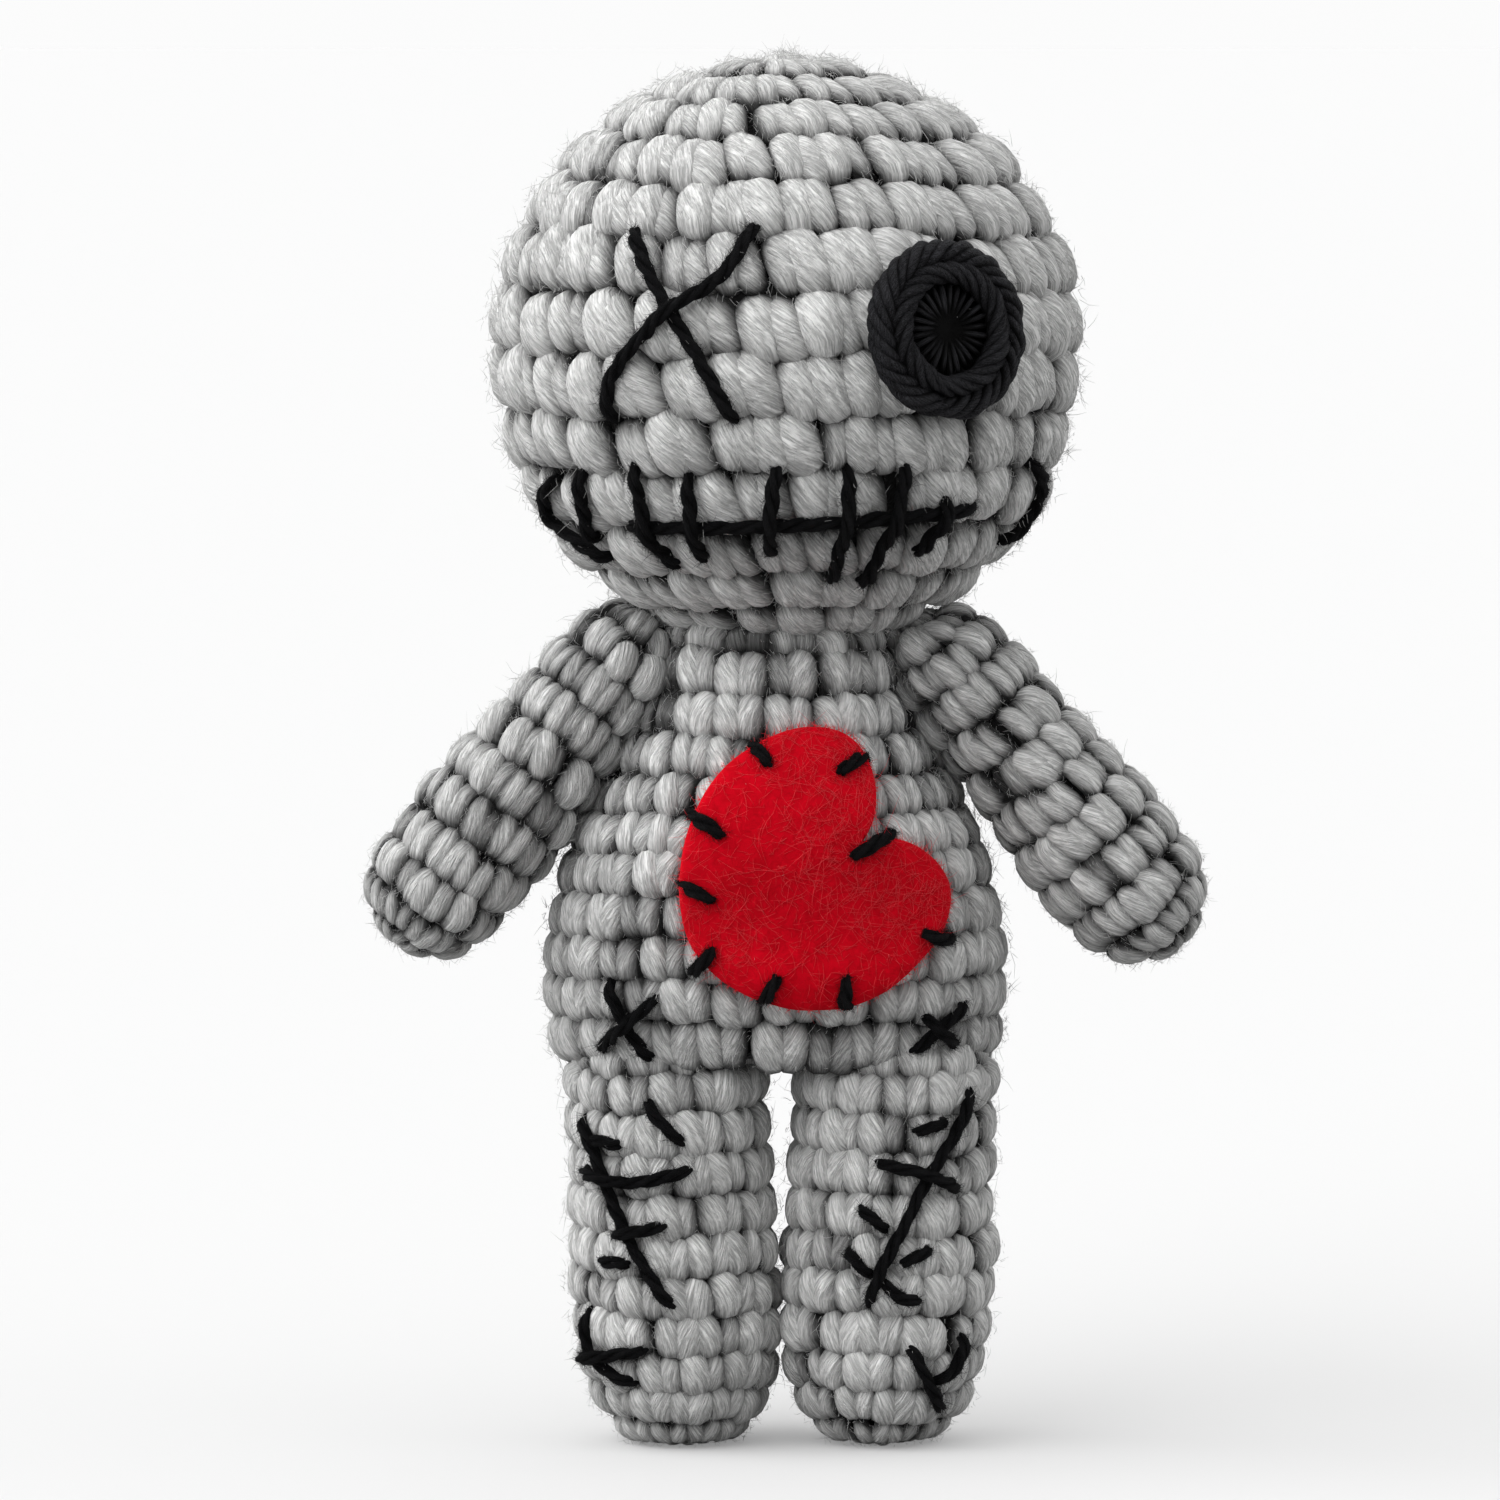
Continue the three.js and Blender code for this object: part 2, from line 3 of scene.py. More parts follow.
import bpy
import numpy as np
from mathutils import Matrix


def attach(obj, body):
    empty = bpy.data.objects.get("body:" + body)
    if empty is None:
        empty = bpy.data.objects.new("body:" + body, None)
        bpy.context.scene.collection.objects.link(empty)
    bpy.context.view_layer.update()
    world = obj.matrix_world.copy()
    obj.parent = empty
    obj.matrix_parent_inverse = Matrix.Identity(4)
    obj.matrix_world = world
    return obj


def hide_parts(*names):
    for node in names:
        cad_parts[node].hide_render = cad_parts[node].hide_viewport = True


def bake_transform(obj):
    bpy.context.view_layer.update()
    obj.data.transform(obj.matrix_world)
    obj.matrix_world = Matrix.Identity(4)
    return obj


# Frame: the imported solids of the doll, which every piece below is made around.
# All sizes are in millimetres until a mesh is written, and the doll looks along -Y.
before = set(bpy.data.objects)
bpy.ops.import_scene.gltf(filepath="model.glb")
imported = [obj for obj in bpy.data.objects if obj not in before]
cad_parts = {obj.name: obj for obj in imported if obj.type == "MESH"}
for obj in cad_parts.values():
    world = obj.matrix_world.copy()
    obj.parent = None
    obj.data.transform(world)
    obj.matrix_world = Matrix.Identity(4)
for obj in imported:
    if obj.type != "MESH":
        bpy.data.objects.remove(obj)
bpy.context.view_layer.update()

# Legs: two tubes of grey yarn in single crochet, worked in a spiral from the sole up and stuffed.
# Each stitch shows as a V of two fat strands, and the top of each tube runs on into the torso.
MM = 0.001
STAND_BACK = 1.1
LEG_OFFSET = 10.6
LEG_SWAY = -0.5
SOLE_RADIUS = 3.5
FOOT_HEIGHT = 13.0
LEG_RADIUS = 10.75
HIP_HEIGHT = 34.0
HIP_RADIUS = 9.9
HIP_SINK = 2.0
HIP_TOP_RADIUS = LEG_RADIUS - 2.3
LEG_LEAN = 0.042
KNEE_HEIGHT = 16.0
LEG_ROUND = 4.12
BODY_ROUND = 4.35
BODY_PITCH = 5.0
STRAND_RINGS = 14
STRAND_SIDES = 10
YARN_TWIST = 0.2
END_ROUND = 0.6
# Painted shade: strands are painted darker the deeper they lie below the outside, from a start depth over a
# reach, in shares of a full strand's half thickness.
FULL_HALF = 0.38
PAINTED_SHADE_START = 0.06
PAINTED_SHADE_REACH = 0.14
FLATNESS = 0.75
LINING_DEPTH = 0.4
FUZZ_COUNT = 10800
LIMB_FUZZ = {"length": 0.75, "thickness": 0.022}
FIBRE_TAPER = np.array((1.0, 0.85, 0.3))
FIBRE_SIDES = 3
FLOOR_GAP = 0.02
# One stitch's two strands: place across, place up, depth below the outside, half thickness
LEFT_LOBE = (
    (-0.13, 0.00, -1.00, 0.18),
    (-0.15, 0.06, -0.60, 0.29),
    (-0.17, 0.16, -0.38, 0.355),
    (-0.18, 0.35, -0.285, 0.375),
    (-0.21, 0.56, -0.275, 0.365),
    (-0.25, 0.75, -0.285, 0.335),
    (-0.30, 0.87, -0.42, 0.275),
    (-0.33, 0.945, -0.95, 0.16),
)
RIGHT_LOBE = (
    (0.17, 0.00, -1.00, 0.18),
    (0.18, 0.06, -0.61, 0.28),
    (0.19, 0.16, -0.40, 0.345),
    (0.20, 0.35, -0.305, 0.365),
    (0.22, 0.56, -0.295, 0.355),
    (0.26, 0.75, -0.30, 0.325),
    (0.31, 0.86, -0.43, 0.265),
    (0.34, 0.935, -0.95, 0.16),
)
# A strand's lifts are its depths off the form, which its painted shade in grooves is read from.
Strands = namedtuple("Strands", "lines outs halves lifts twists", defaults=(None,))


def curve_through(points, count):
    """A smooth line through the points, at even shares of its parts."""
    points = np.asarray(points, float)
    ends = np.concatenate([2 * points[:1] - points[1:2], points, 2 * points[-1:] - points[-2:-1]])
    share = np.linspace(0, len(points) - 1, count)
    part = np.minimum(share.astype(int), len(points) - 2)
    t = (share - part)[:, None]
    a, b, c, d = (ends[part + i] for i in range(4))
    return 0.5 * (2 * b + (c - a) * t + (2 * a - 5 * b + 4 * c - d) * t**2 + (3 * b - a - 3 * c + d) * t**3)


def unit(vectors):
    """The vectors at length one."""
    return vectors / np.maximum(np.linalg.norm(vectors, axis=-1, keepdims=True), 1e-9)


class StuffedForm:
    """The outside of a stuffed piece: an outline of radii and heights, turned about its own axis."""

    def __init__(self, outline, seat=(0, 0, 0), turn=None, depth_share=np.ones_like):
        self.outline = np.asarray(outline, float)
        steps = np.hypot(*np.diff(self.outline, axis=0).T)
        self.runs = np.concatenate([[0.0], np.cumsum(steps)])
        self.length = self.runs[-1]
        self.seat = np.asarray(seat, float) + (0, STAND_BACK, 0)
        self.turn = np.eye(3) if turn is None else np.asarray(turn, float)
        self.depth_share = depth_share

    def radius(self, run):
        """The radius at a run along the outline."""
        return np.interp(run, self.runs, self.outline[:, 0])

    def run_at(self, height):
        """The run along the outline at a height."""
        return np.interp(height, self.outline[:, 1], self.runs)

    def bare(self, angle, run):
        """Points on the form itself."""
        radius = self.radius(run)
        height = np.interp(run, self.runs, self.outline[:, 1])
        depth = radius * self.depth_share(height)
        local = np.stack([radius * np.sin(angle), -depth * np.cos(angle), height], -1)
        return local @ self.turn.T + self.seat

    def place(self, angle, run, lift=0.0):
        """Points on the form, lifted off it, and the way out there."""
        angle, run = np.broadcast_arrays(angle, np.clip(run, 0.06, self.length - 0.06))
        across = self.bare(angle + 0.01, run) - self.bare(angle - 0.01, run)
        along = self.bare(angle, run + 0.05) - self.bare(angle, run - 0.05)
        out = unit(np.cross(across, along))
        return self.bare(angle, run) + out * np.asarray(lift)[..., None], out


def worked_rounds(first, height, counts):
    """The rounds of a piece: where each starts along the form, its height and its stitches."""
    return [(first + i * height, height, count) for i, count in enumerate(counts)]


def joined(strands):
    """Several lots of strands as one."""
    return Strands(*(np.concatenate(parts) for parts in zip(*strands)))


def v_stitches(form, rounds, pitch, rng, lobes=(LEFT_LOBE, RIGHT_LOBE), twists=(-YARN_TWIST, YARN_TWIST),
               slant=-0.06, uneven=1.0):
    """The strands of all stitches: their lines, the way out, half thickness and lift off the form."""
    def stray(middle, spread, count):
        return rng.normal(middle, spread * uneven, (count, 1))

    strands = []
    lead = 0.0
    sway = rng.uniform(0, 2 * np.pi, 2)
    for number, (start, height, count) in enumerate(rounds):
        step = 2 * np.pi / count
        place = lead - (np.arange(count)[:, None] + stray(0, 0.06, count)) * step
        wave = 0.07 * np.sin(place + sway[0] + 0.4 * number) + 0.04 * np.sin(3 * place + sway[1])
        rise = start + (wave + stray(0, 0.04, count)) * height
        mid = form.radius(start + 0.5 * height) * step
        size = np.clip(mid, 0.55 * pitch, 1.04 * pitch) * stray(1, 0.05, count)
        lean = stray(slant, 0.07, count)
        for lobe, twist in zip(lobes, twists):
            shape = curve_through(lobe, STRAND_RINGS)
            fat = stray(1, 0.06, count)
            angle = place + (shape[:, 0] + lean * shape[:, 1] + stray(0, 0.03, count)) * step
            run = rise + shape[:, 1] * height * stray(1, 0.03, count)
            lift = (shape[:, 2] + stray(0, 0.03, count)) * size
            line, out = form.place(angle, run, lift)
            strands.append(Strands(line, out, shape[:, 3] * size * fat, lift, stray(twist, 0.06, count)))
        lead += 0.37 * step
    return joined(strands)


def strand_axes(lines, outs):
    """The way along, across and out of each strand."""
    along = unit(np.gradient(lines, axis=1))
    side = unit(np.cross(along, outs))
    return along, side, np.cross(side, along)


def tubes(strands, sides, rng, twist=YARN_TWIST, flat=1.0, painted_shade_from=PAINTED_SHADE_START):
    """Closed strands, round or pressed flat, as a block of rings with their fibre lie, random tone and
    painted shade by depth.
    """
    lines, outs, halves, lifts, twists = strands
    along, side, out = strand_axes(lines, outs)
    round_about = 2 * np.pi * np.arange(sides) / sides
    across, up = np.cos(round_about)[:, None], np.sin(round_about)[:, None]
    spread = side[:, :, None] * across + flat * out[:, :, None] * up
    rings = lines[:, :, None] + spread * halves[:, :, None, None]
    caps = np.stack([
        lines[:, 0] - along[:, 0] * halves[:, :1] * END_ROUND,
        lines[:, -1] + along[:, -1] * halves[:, -1:] * END_ROUND,
    ], 1)
    steps = np.linalg.norm(np.diff(lines, axis=1), axis=-1)
    length = np.concatenate([np.zeros((len(lines), 1)), np.cumsum(steps, axis=1)], 1)
    turned = round_about + (twist if twists is None else twists[:, :, None]) * length[:, :, None]
    shift = rng.uniform(0, 400, (len(lines), 1, 1))
    run = np.broadcast_to(length[:, :, None] + shift, turned.shape)
    lie = np.stack([run, np.cos(turned), np.sin(turned)], -1)
    # Painted shade: each ring is painted darker the deeper it lies below the outside of the form.
    level = lifts[:, :, None] + flat * halves[:, :, None] * np.maximum(np.sin(round_about), 0.35)
    sunk = np.clip((-level * FULL_HALF / halves.max(1)[:, None, None] - painted_shade_from) / PAINTED_SHADE_REACH, 0, 1)
    return {"rings": rings, "caps": caps, "lie": lie, "sunk": sunk, "shade": rng.uniform(0, 1, len(lines))}


def painted_shade_lining(form, lift, rings=40, sides=48):
    """The closed inside face of the fabric, behind the strands, painted near black as the shade in the
    gaps.
    """
    run = np.linspace(0, form.length, rings)[:, None]
    angle = -2 * np.pi * np.arange(sides) / sides
    points, _ = form.place(angle, run, np.full((rings, sides), lift))
    lie = np.stack(np.broadcast_arrays(run, 3 * np.cos(angle), 3 * np.sin(angle)), -1)
    caps = np.stack([points[0].mean(0), points[-1].mean(0)])
    # Painted shade: the whole inside face is painted fully dark.
    sunk = np.ones((1, rings, sides))
    return {"rings": points[None], "caps": caps[None], "lie": lie[None], "sunk": sunk, "shade": np.zeros(1)}


def bowed_hairs(root, away, first, then, reach, halves):
    """Fine hairs that leave their roots one way and bend to another, as strands."""
    shape = len(root), len(halves)
    share = np.linspace(0, 1, len(halves))[None, :, None]
    bow = first[:, None] * share + 0.5 * (then - first)[:, None] * share**2
    lines = root[:, None] + reach[:, None] * bow
    outs = np.repeat(away[:, None], len(halves), 1)
    return Strands(lines, outs, np.broadcast_to(halves, shape), np.zeros(shape))


def loose_fibres(strands, count, length, thickness, rng):
    """Short fine hairs that stand off the strands."""
    lines, outs, halves = strands[:3]
    along, side, out = strand_axes(lines, outs)
    strand = rng.integers(0, len(lines), count)
    ring = rng.integers(1, lines.shape[1] - 1, count)
    turn = rng.uniform(-0.2, np.pi + 0.2, count)[:, None]
    away = side[strand, ring] * np.cos(turn) + out[strand, ring] * np.sin(turn)
    root = lines[strand, ring] + away * (halves[strand, ring] * 0.94)[:, None]
    ahead = along[strand, ring] * rng.choice([-1.0, 1.0], (count, 1))
    wander = rng.normal(0, 0.35, (count, 3))
    first = unit(ahead + 0.55 * away + wander)
    then = unit(0.7 * ahead + away * rng.uniform(-0.1, 0.9, (count, 1)) + rng.normal(0, 0.6, (count, 3)))
    reach = length * rng.gamma(3.0, 0.33, (count, 1))
    return bowed_hairs(root, away, first, then, reach, thickness * FIBRE_TAPER)


def in_scene(name, data):
    """A new object of the scene with this mesh, lamp or camera."""
    thing = bpy.data.objects.new(name, data)
    bpy.context.scene.collection.objects.link(thing)
    return thing


def mesh_piece(name, blocks, material):
    """One mesh of all the blocks of rings, with their fibre lie, random tones, painted shade and a flat map
    of each strand.
    """
    corners, lies, shades, painted_shades, loops, sizes, flats = [], [], [], [], [], [], []
    start = 0
    shares = np.array([b["rings"].shape[0] * b["rings"].shape[1] for b in blocks], float)
    bands = np.concatenate([[0.0], np.cumsum(shares / shares.sum())])
    for block, low, high in zip(blocks, bands[:-1], bands[1:]):
        many, rings, sides = block["rings"].shape[:3]
        body = start + np.arange(many * rings * sides).reshape(many, rings, sides)
        ends = start + many * rings * sides + np.arange(many * 2).reshape(many, 2)
        start = ends[-1, -1] + 1
        corners += [block["rings"].reshape(-1, 3), block["caps"].reshape(-1, 3)]
        lies += [block["lie"].reshape(-1, 3), block["lie"][:, [0, -1], 0].reshape(-1, 3)]
        shades += [np.repeat(block["shade"], rings * sides), np.repeat(block["shade"], 2)]
        painted_shades += [block["sunk"].ravel(), block["sunk"][:, [0, -1], 0].ravel()]
        nearer, next_side = body[:, :-1], np.roll(body, -1, 2)
        quads = np.stack([nearer, body[:, 1:], next_side[:, 1:], next_side[:, :-1]], -1)
        first = np.stack([np.broadcast_to(ends[:, :1], (many, sides)), body[:, 0], next_side[:, 0]], -1)
        last = np.stack([np.broadcast_to(ends[:, 1:], (many, sides)), next_side[:, -1], body[:, -1]], -1)
        loops += [quads.ravel(), first.ravel(), last.ravel()]
        sizes += [np.full(quads.size // 4, 4), np.full(2 * many * sides, 3)]
        columns = int(np.ceil(np.sqrt(many)))
        rows = int(np.ceil(many / columns))
        cell = np.stack([np.arange(many) % columns, np.arange(many) // columns], -1)
        ring_u = 0.1 + 0.8 * np.arange(rings) / (rings - 1)
        side_v = 0.04 + 0.92 * np.arange(sides + 1) / sides

        def flat(u, v):
            u, v = np.broadcast_arrays(u, v)
            lower = cell.reshape(many, *[1] * (u.ndim - 1), 2)
            across = (lower[..., 0] + u) / columns
            return np.stack([across, low + (high - low) * (lower[..., 1] + v) / rows], -1)

        u0, u1 = ring_u[:-1, None], ring_u[1:, None]
        v0, v1 = side_v[None, :-1], side_v[None, 1:]
        shape = (many, rings - 1, sides)
        quad_uv = [flat(np.broadcast_to(u, shape), np.broadcast_to(v, shape))
                   for u, v in ((u0, v0), (u1, v0), (u1, v1), (u0, v1))]
        flats.append(np.stack(quad_uv, -2).reshape(-1, 2))
        middle = (side_v[:-1] + side_v[1:]) / 2
        for tip, rim, order in ((0.02, 0.1, (0, 1)), (0.98, 0.9, (1, 0))):
            edges = (side_v[:-1], side_v[1:])
            every = (many, sides)
            fan = [flat(np.full(every, tip), np.broadcast_to(middle, every))]
            fan += [flat(np.full(every, rim), np.broadcast_to(edges[i], every)) for i in order]
            flats.append(np.stack(fan, -2).reshape(-1, 2))
    corners, lies = np.concatenate(corners) * MM, np.concatenate(lies)
    loops, sizes = np.concatenate(loops), np.concatenate(sizes)
    mesh = bpy.data.meshes.new(name)
    mesh.vertices.add(len(corners))
    mesh.vertices.foreach_set("co", corners.astype(np.float32).ravel())
    mesh.loops.add(len(loops))
    mesh.loops.foreach_set("vertex_index", loops.astype(np.int32))
    mesh.polygons.add(len(sizes))
    mesh.polygons.foreach_set("loop_start", np.concatenate([[0], np.cumsum(sizes)[:-1]]).astype(np.int32))
    mesh.polygons.foreach_set("use_smooth", np.ones(len(sizes), bool))
    mesh.update(calc_edges=True)
    mesh.attributes.new("fibre_lie", "FLOAT_VECTOR", "POINT").data.foreach_set(
        "vector", lies.astype(np.float32).ravel())
    for attribute, values in (("strand_shade", shades), ("sunk", painted_shades)):
        mesh.attributes.new(attribute, "FLOAT", "POINT").data.foreach_set(
            "value", np.concatenate(values).astype(np.float32))
    mesh.uv_layers.new(name="OFBake").data.foreach_set(
        "uv", np.concatenate(flats).astype(np.float32).ravel())
    mesh.validate()
    mesh.materials.append(material)
    return in_scene(name, mesh)


def new_nodes(tree):
    """Short ways to add a node with its values, and to link it."""
    def add(kind, **values):
        node = tree.nodes.new(kind)
        for key, value in values.items():
            if key in node.inputs:
                node.inputs[key].default_value = value
            else:
                setattr(node, key, value)
        return node

    return add, tree.links.new


def yarn_fibre_group():
    """Streaks of fine fibres that run along a strand and slant round it with the twist, with painted shade
    in the grooves.
    """
    tree = bpy.data.node_groups.new("yarn fibres", "ShaderNodeTree")
    for name, low in (("Dark", 0.1), ("Light", 0.5)):
        socket = tree.interface.new_socket(name, in_out="INPUT", socket_type="NodeSocketColor")
        socket.default_value = (low, low, low, 1)
    tree.interface.new_socket("Color", in_out="OUTPUT", socket_type="NodeSocketColor")
    tree.interface.new_socket("Height", in_out="OUTPUT", socket_type="NodeSocketFloat")
    add, link = new_nodes(tree)
    given, result = add("NodeGroupInput"), add("NodeGroupOutput")
    lie = add("ShaderNodeAttribute", attribute_name="fibre_lie")
    shade = add("ShaderNodeAttribute", attribute_name="strand_shade")
    heights = []
    for stretch, detail in (((0.5, 5.0, 5.0), 3.0), ((1.0, 12.0, 12.0), 2.0), ((0.3, 2.2, 2.2), 1.0)):
        drawn = add("ShaderNodeVectorMath", operation="MULTIPLY")
        drawn.inputs[1].default_value = stretch
        streak = add("ShaderNodeTexNoise", Scale=1.0, Detail=detail, Roughness=0.6)
        link(lie.outputs["Vector"], drawn.inputs[0])
        link(drawn.outputs[0], streak.inputs["Vector"])
        heights.append(streak.outputs["Fac"])
    both = add("ShaderNodeMath", operation="ADD")
    link(heights[0], both.inputs[0])
    link(heights[1], both.inputs[1])
    spread = add("ShaderNodeMapRange")
    for key, value in (("From Min", 0.80), ("From Max", 1.20)):
        spread.inputs[key].default_value = value
    link(both.outputs[0], spread.inputs["Value"])
    tone = add("ShaderNodeMath", operation="MULTIPLY_ADD")
    tone.inputs[1].default_value = 0.22
    link(shade.outputs["Fac"], tone.inputs[0])
    link(spread.outputs[0], tone.inputs[2])
    lowered = add("ShaderNodeMath", operation="SUBTRACT", use_clamp=True)
    lowered.inputs[1].default_value = 0.11
    link(tone.outputs[0], lowered.inputs[0])
    colour = add("ShaderNodeMix", data_type="RGBA")
    link(lowered.outputs[0], colour.inputs["Factor"])
    link(given.outputs["Dark"], colour.inputs["A"])
    link(given.outputs["Light"], colour.inputs["B"])
    # Painted shade: the colour goes to near black where the mesh marks a strand as lying deep in a groove
    # or crease.
    sunk = add("ShaderNodeAttribute", attribute_name="sunk")
    painted_shade_mix = add("ShaderNodeMix", data_type="RGBA", blend_type="MULTIPLY")
    painted_shade_mix.inputs["B"].default_value = (0.02, 0.02, 0.02, 1)
    link(sunk.outputs["Fac"], painted_shade_mix.inputs["Factor"])
    link(colour.outputs["Result"], painted_shade_mix.inputs["A"])
    link(painted_shade_mix.outputs["Result"], result.inputs["Color"])
    bundles = add("ShaderNodeMath", operation="MULTIPLY_ADD")
    bundles.inputs[1].default_value = 2.2
    link(heights[2], bundles.inputs[0])
    link(spread.outputs[0], bundles.inputs[2])
    link(bundles.outputs[0], result.inputs["Height"])
    return tree


yarn_fibres = yarn_fibre_group()


def new_material(name, settings):
    """A material with its shader's plain values set, and the ways to add and link its nodes."""
    material = bpy.data.materials.new(name)
    material.use_nodes = True
    shader = material.node_tree.nodes["Principled BSDF"]
    for socket, value in settings.items():
        shader.inputs[socket].default_value = value
    return material, shader, *new_nodes(material.node_tree)


def give_relief(shader, add, link, height, strength, distance):
    """Fine relief on a shader, from a height that changes over the surface."""
    bump = add("ShaderNodeBump", Strength=strength, Distance=distance)
    link(height, bump.inputs["Height"])
    link(bump.outputs[0], shader.inputs["Normal"])


def yarn_material(name, dark, light, sheen, bump, rough=0.92, gloss=0.15):
    """Spun yarn: streaked by its fibres, dull, with a soft bloom at the edges."""
    material, shader, add, link = new_material(name, {
        "Roughness": rough, "Specular IOR Level": gloss, "Sheen Weight": sheen, "Sheen Roughness": 0.45})
    fibres = add("ShaderNodeGroup", node_tree=yarn_fibres, Dark=(*dark, 1), Light=(*light, 1))
    link(fibres.outputs["Color"], shader.inputs["Base Color"])
    give_relief(shader, add, link, fibres.outputs["Height"], strength=bump, distance=0.00035)
    return material


grey_yarn = yarn_material("grey yarn", (0.43, 0.43, 0.427), (0.93, 0.93, 0.92), sheen=0.1, bump=0.65)
grey_fibre = yarn_material(
    "grey loose fibre", (0.42, 0.42, 0.415), (0.75, 0.75, 0.74), sheen=0.1, bump=0.0)

foot = np.linspace(-np.pi / 2, 0, 40)
hip_top = HIP_HEIGHT + HIP_RADIUS - HIP_SINK
leg_outline = np.concatenate([
    np.stack([np.linspace(0, SOLE_RADIUS, 8)[:-1], np.zeros(7)], -1),
    np.stack([SOLE_RADIUS + (LEG_RADIUS - SOLE_RADIUS) * np.cos(foot),
              FOOT_HEIGHT * (1 + np.sin(foot))], -1),
    curve_through([
        (LEG_RADIUS, FOOT_HEIGHT),
        (LEG_RADIUS + 0.2, 17.0),
        (LEG_RADIUS - 0.2, 26.0),
        (LEG_RADIUS - 0.4, HIP_HEIGHT),
        (LEG_RADIUS - 0.5, 38.2),
        (HIP_TOP_RADIUS, hip_top),
    ], 50)[1:],
    np.stack([np.linspace(HIP_TOP_RADIUS, 0, 12)[1:], np.full(11, hip_top)], -1),
])
LEG_STITCHES = (6, 11) + (13,) * 10
leg_forms = {}
for side, sign in (("left", 1), ("right", -1)):
    rng = np.random.default_rng(11 if sign > 0 else 12)
    turn = ((1, 0, sign * LEG_LEAN), (0, 1, 0), (0, 0, 1))
    aside = LEG_SWAY + sign * (LEG_OFFSET - LEG_LEAN * KNEE_HEIGHT)
    form = StuffedForm(leg_outline, seat=(aside, 0, 0), turn=turn)
    leg_forms[side] = form
    strands = v_stitches(form, worked_rounds(0.0, LEG_ROUND, LEG_STITCHES), BODY_PITCH, rng)
    blocks = [tubes(strands, STRAND_SIDES, rng, flat=FLATNESS), painted_shade_lining(form, -LINING_DEPTH * BODY_PITCH)]
    hairs = tubes(loose_fibres(strands, FUZZ_COUNT, **LIMB_FUZZ, rng=rng), FIBRE_SIDES, rng)
    for block in (*blocks, hairs):
        for part in ("rings", "caps"):
            block[part][..., 2] = np.maximum(block[part][..., 2], FLOOR_GAP)
    leg = mesh_piece(f"{side}_leg_crochet", blocks, grey_yarn)
    fuzz = mesh_piece(f"{side}_leg_fuzz", [hairs], grey_fibre)
    for piece in (leg, fuzz):
        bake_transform(piece)
    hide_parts(f"{side}_leg_shell")

# Torso: one grey pear in the same stitch, worked on from the legs and narrowed to a round neck.
# Its lowest round closes over the tops of the legs, and the neck sits up inside the head.
# The soft body sits a little to the doll's right under its head.
SWAY = -1.0
RIM_HEIGHT = 38.4
RIM_WIDTH = 22.4
RIM_DEPTH = 11.3
HIP_CORNER = 0.7
BELLY_WIDTH = 46.5
BELLY_DEPTH = 31.0
BELLY_RISE = 11.5
CHEST_WIDTH = 33.0
CHEST_DROP = 1.0
NECK_HEIGHT = 71.5
NECK_RADIUS = 12.6
NECK_TUBE = 11.0
HEAD_RADIUS = 29.6
HEAD_HEIGHT = 109.4
ARM_RADIUS = 7.7
SHOULDER = (17.913, 0.0, 77.338)
ARM_DROP = {"left": 1.0, "right": 0.4}
ARM_FORWARD = 2.0
ARM_SPREAD = np.radians(39.25)
# Arm and chin creases: how far the stitches are pulled in there and painted darker as shade.
CREASE = {"reach": 4.5, "depth": 1.7}
CHIN_CREASE = {"reach": 3.2, "depth": 1.2}
# Depth at which the torso's painted shade starts.
TORSO_PAINTED_SHADE_FROM = 0.03
TORSO_FUZZ = {"length": 0.8, "thickness": 0.024}


def torso_depth_share(height):
    """The depth of the torso as a share of its width: flat at the belly and round at the neck."""
    belly = RIM_HEIGHT + BELLY_RISE
    low = np.clip((height - RIM_HEIGHT) / BELLY_RISE, 0, 1)
    high = np.clip((height - belly) / (NECK_HEIGHT - belly), 0, 1)
    low, high = (t * t * (3 - 2 * t) for t in (low, high))
    rim, full = RIM_DEPTH / RIM_WIDTH, BELLY_DEPTH / BELLY_WIDTH
    return np.where(height < belly, rim + (full - rim) * low, full + (1 - full) * high)


corner = np.linspace(-np.pi / 2, 0, 10)
torso_outline = np.concatenate([
    np.stack([np.linspace(0, RIM_WIDTH - HIP_CORNER, 20)[:-1], np.full(19, RIM_HEIGHT)], -1),
    np.stack([RIM_WIDTH - HIP_CORNER + HIP_CORNER * np.cos(corner),
              RIM_HEIGHT + HIP_CORNER + HIP_CORNER * np.sin(corner)], -1)[:-1],
    curve_through([
        (RIM_WIDTH, RIM_HEIGHT + HIP_CORNER),
        (RIM_WIDTH + 0.6, RIM_HEIGHT + 4.0),
        (BELLY_WIDTH / 2, RIM_HEIGHT + BELLY_RISE),
        (BELLY_WIDTH / 2 - 1.5, RIM_HEIGHT + 20.1),
        (BELLY_WIDTH / 2 - 3.7, RIM_HEIGHT + 25.6),
        (CHEST_WIDTH / 2, NECK_HEIGHT - CHEST_DROP),
        (NECK_TUBE + 3.2, NECK_HEIGHT + 6.0),
        (NECK_TUBE, NECK_HEIGHT + NECK_RADIUS),
        (0, NECK_HEIGHT + NECK_RADIUS + 2.0),
    ], 90),
])
torso_form = StuffedForm(torso_outline, seat=(SWAY, 0, 0), depth_share=torso_depth_share)
TORSO_STITCHES = (27, 27, 27, 27, 26, 25, 23, 21, 19, 17, 15, 13, 13)


def outside(strands, centre, radius):
    """Only the strands that are not all inside a ball."""
    away = np.linalg.norm(strands.lines - np.asarray(centre), axis=-1)
    keep = (away > radius).any(1)
    return Strands(*(part[keep] for part in strands))


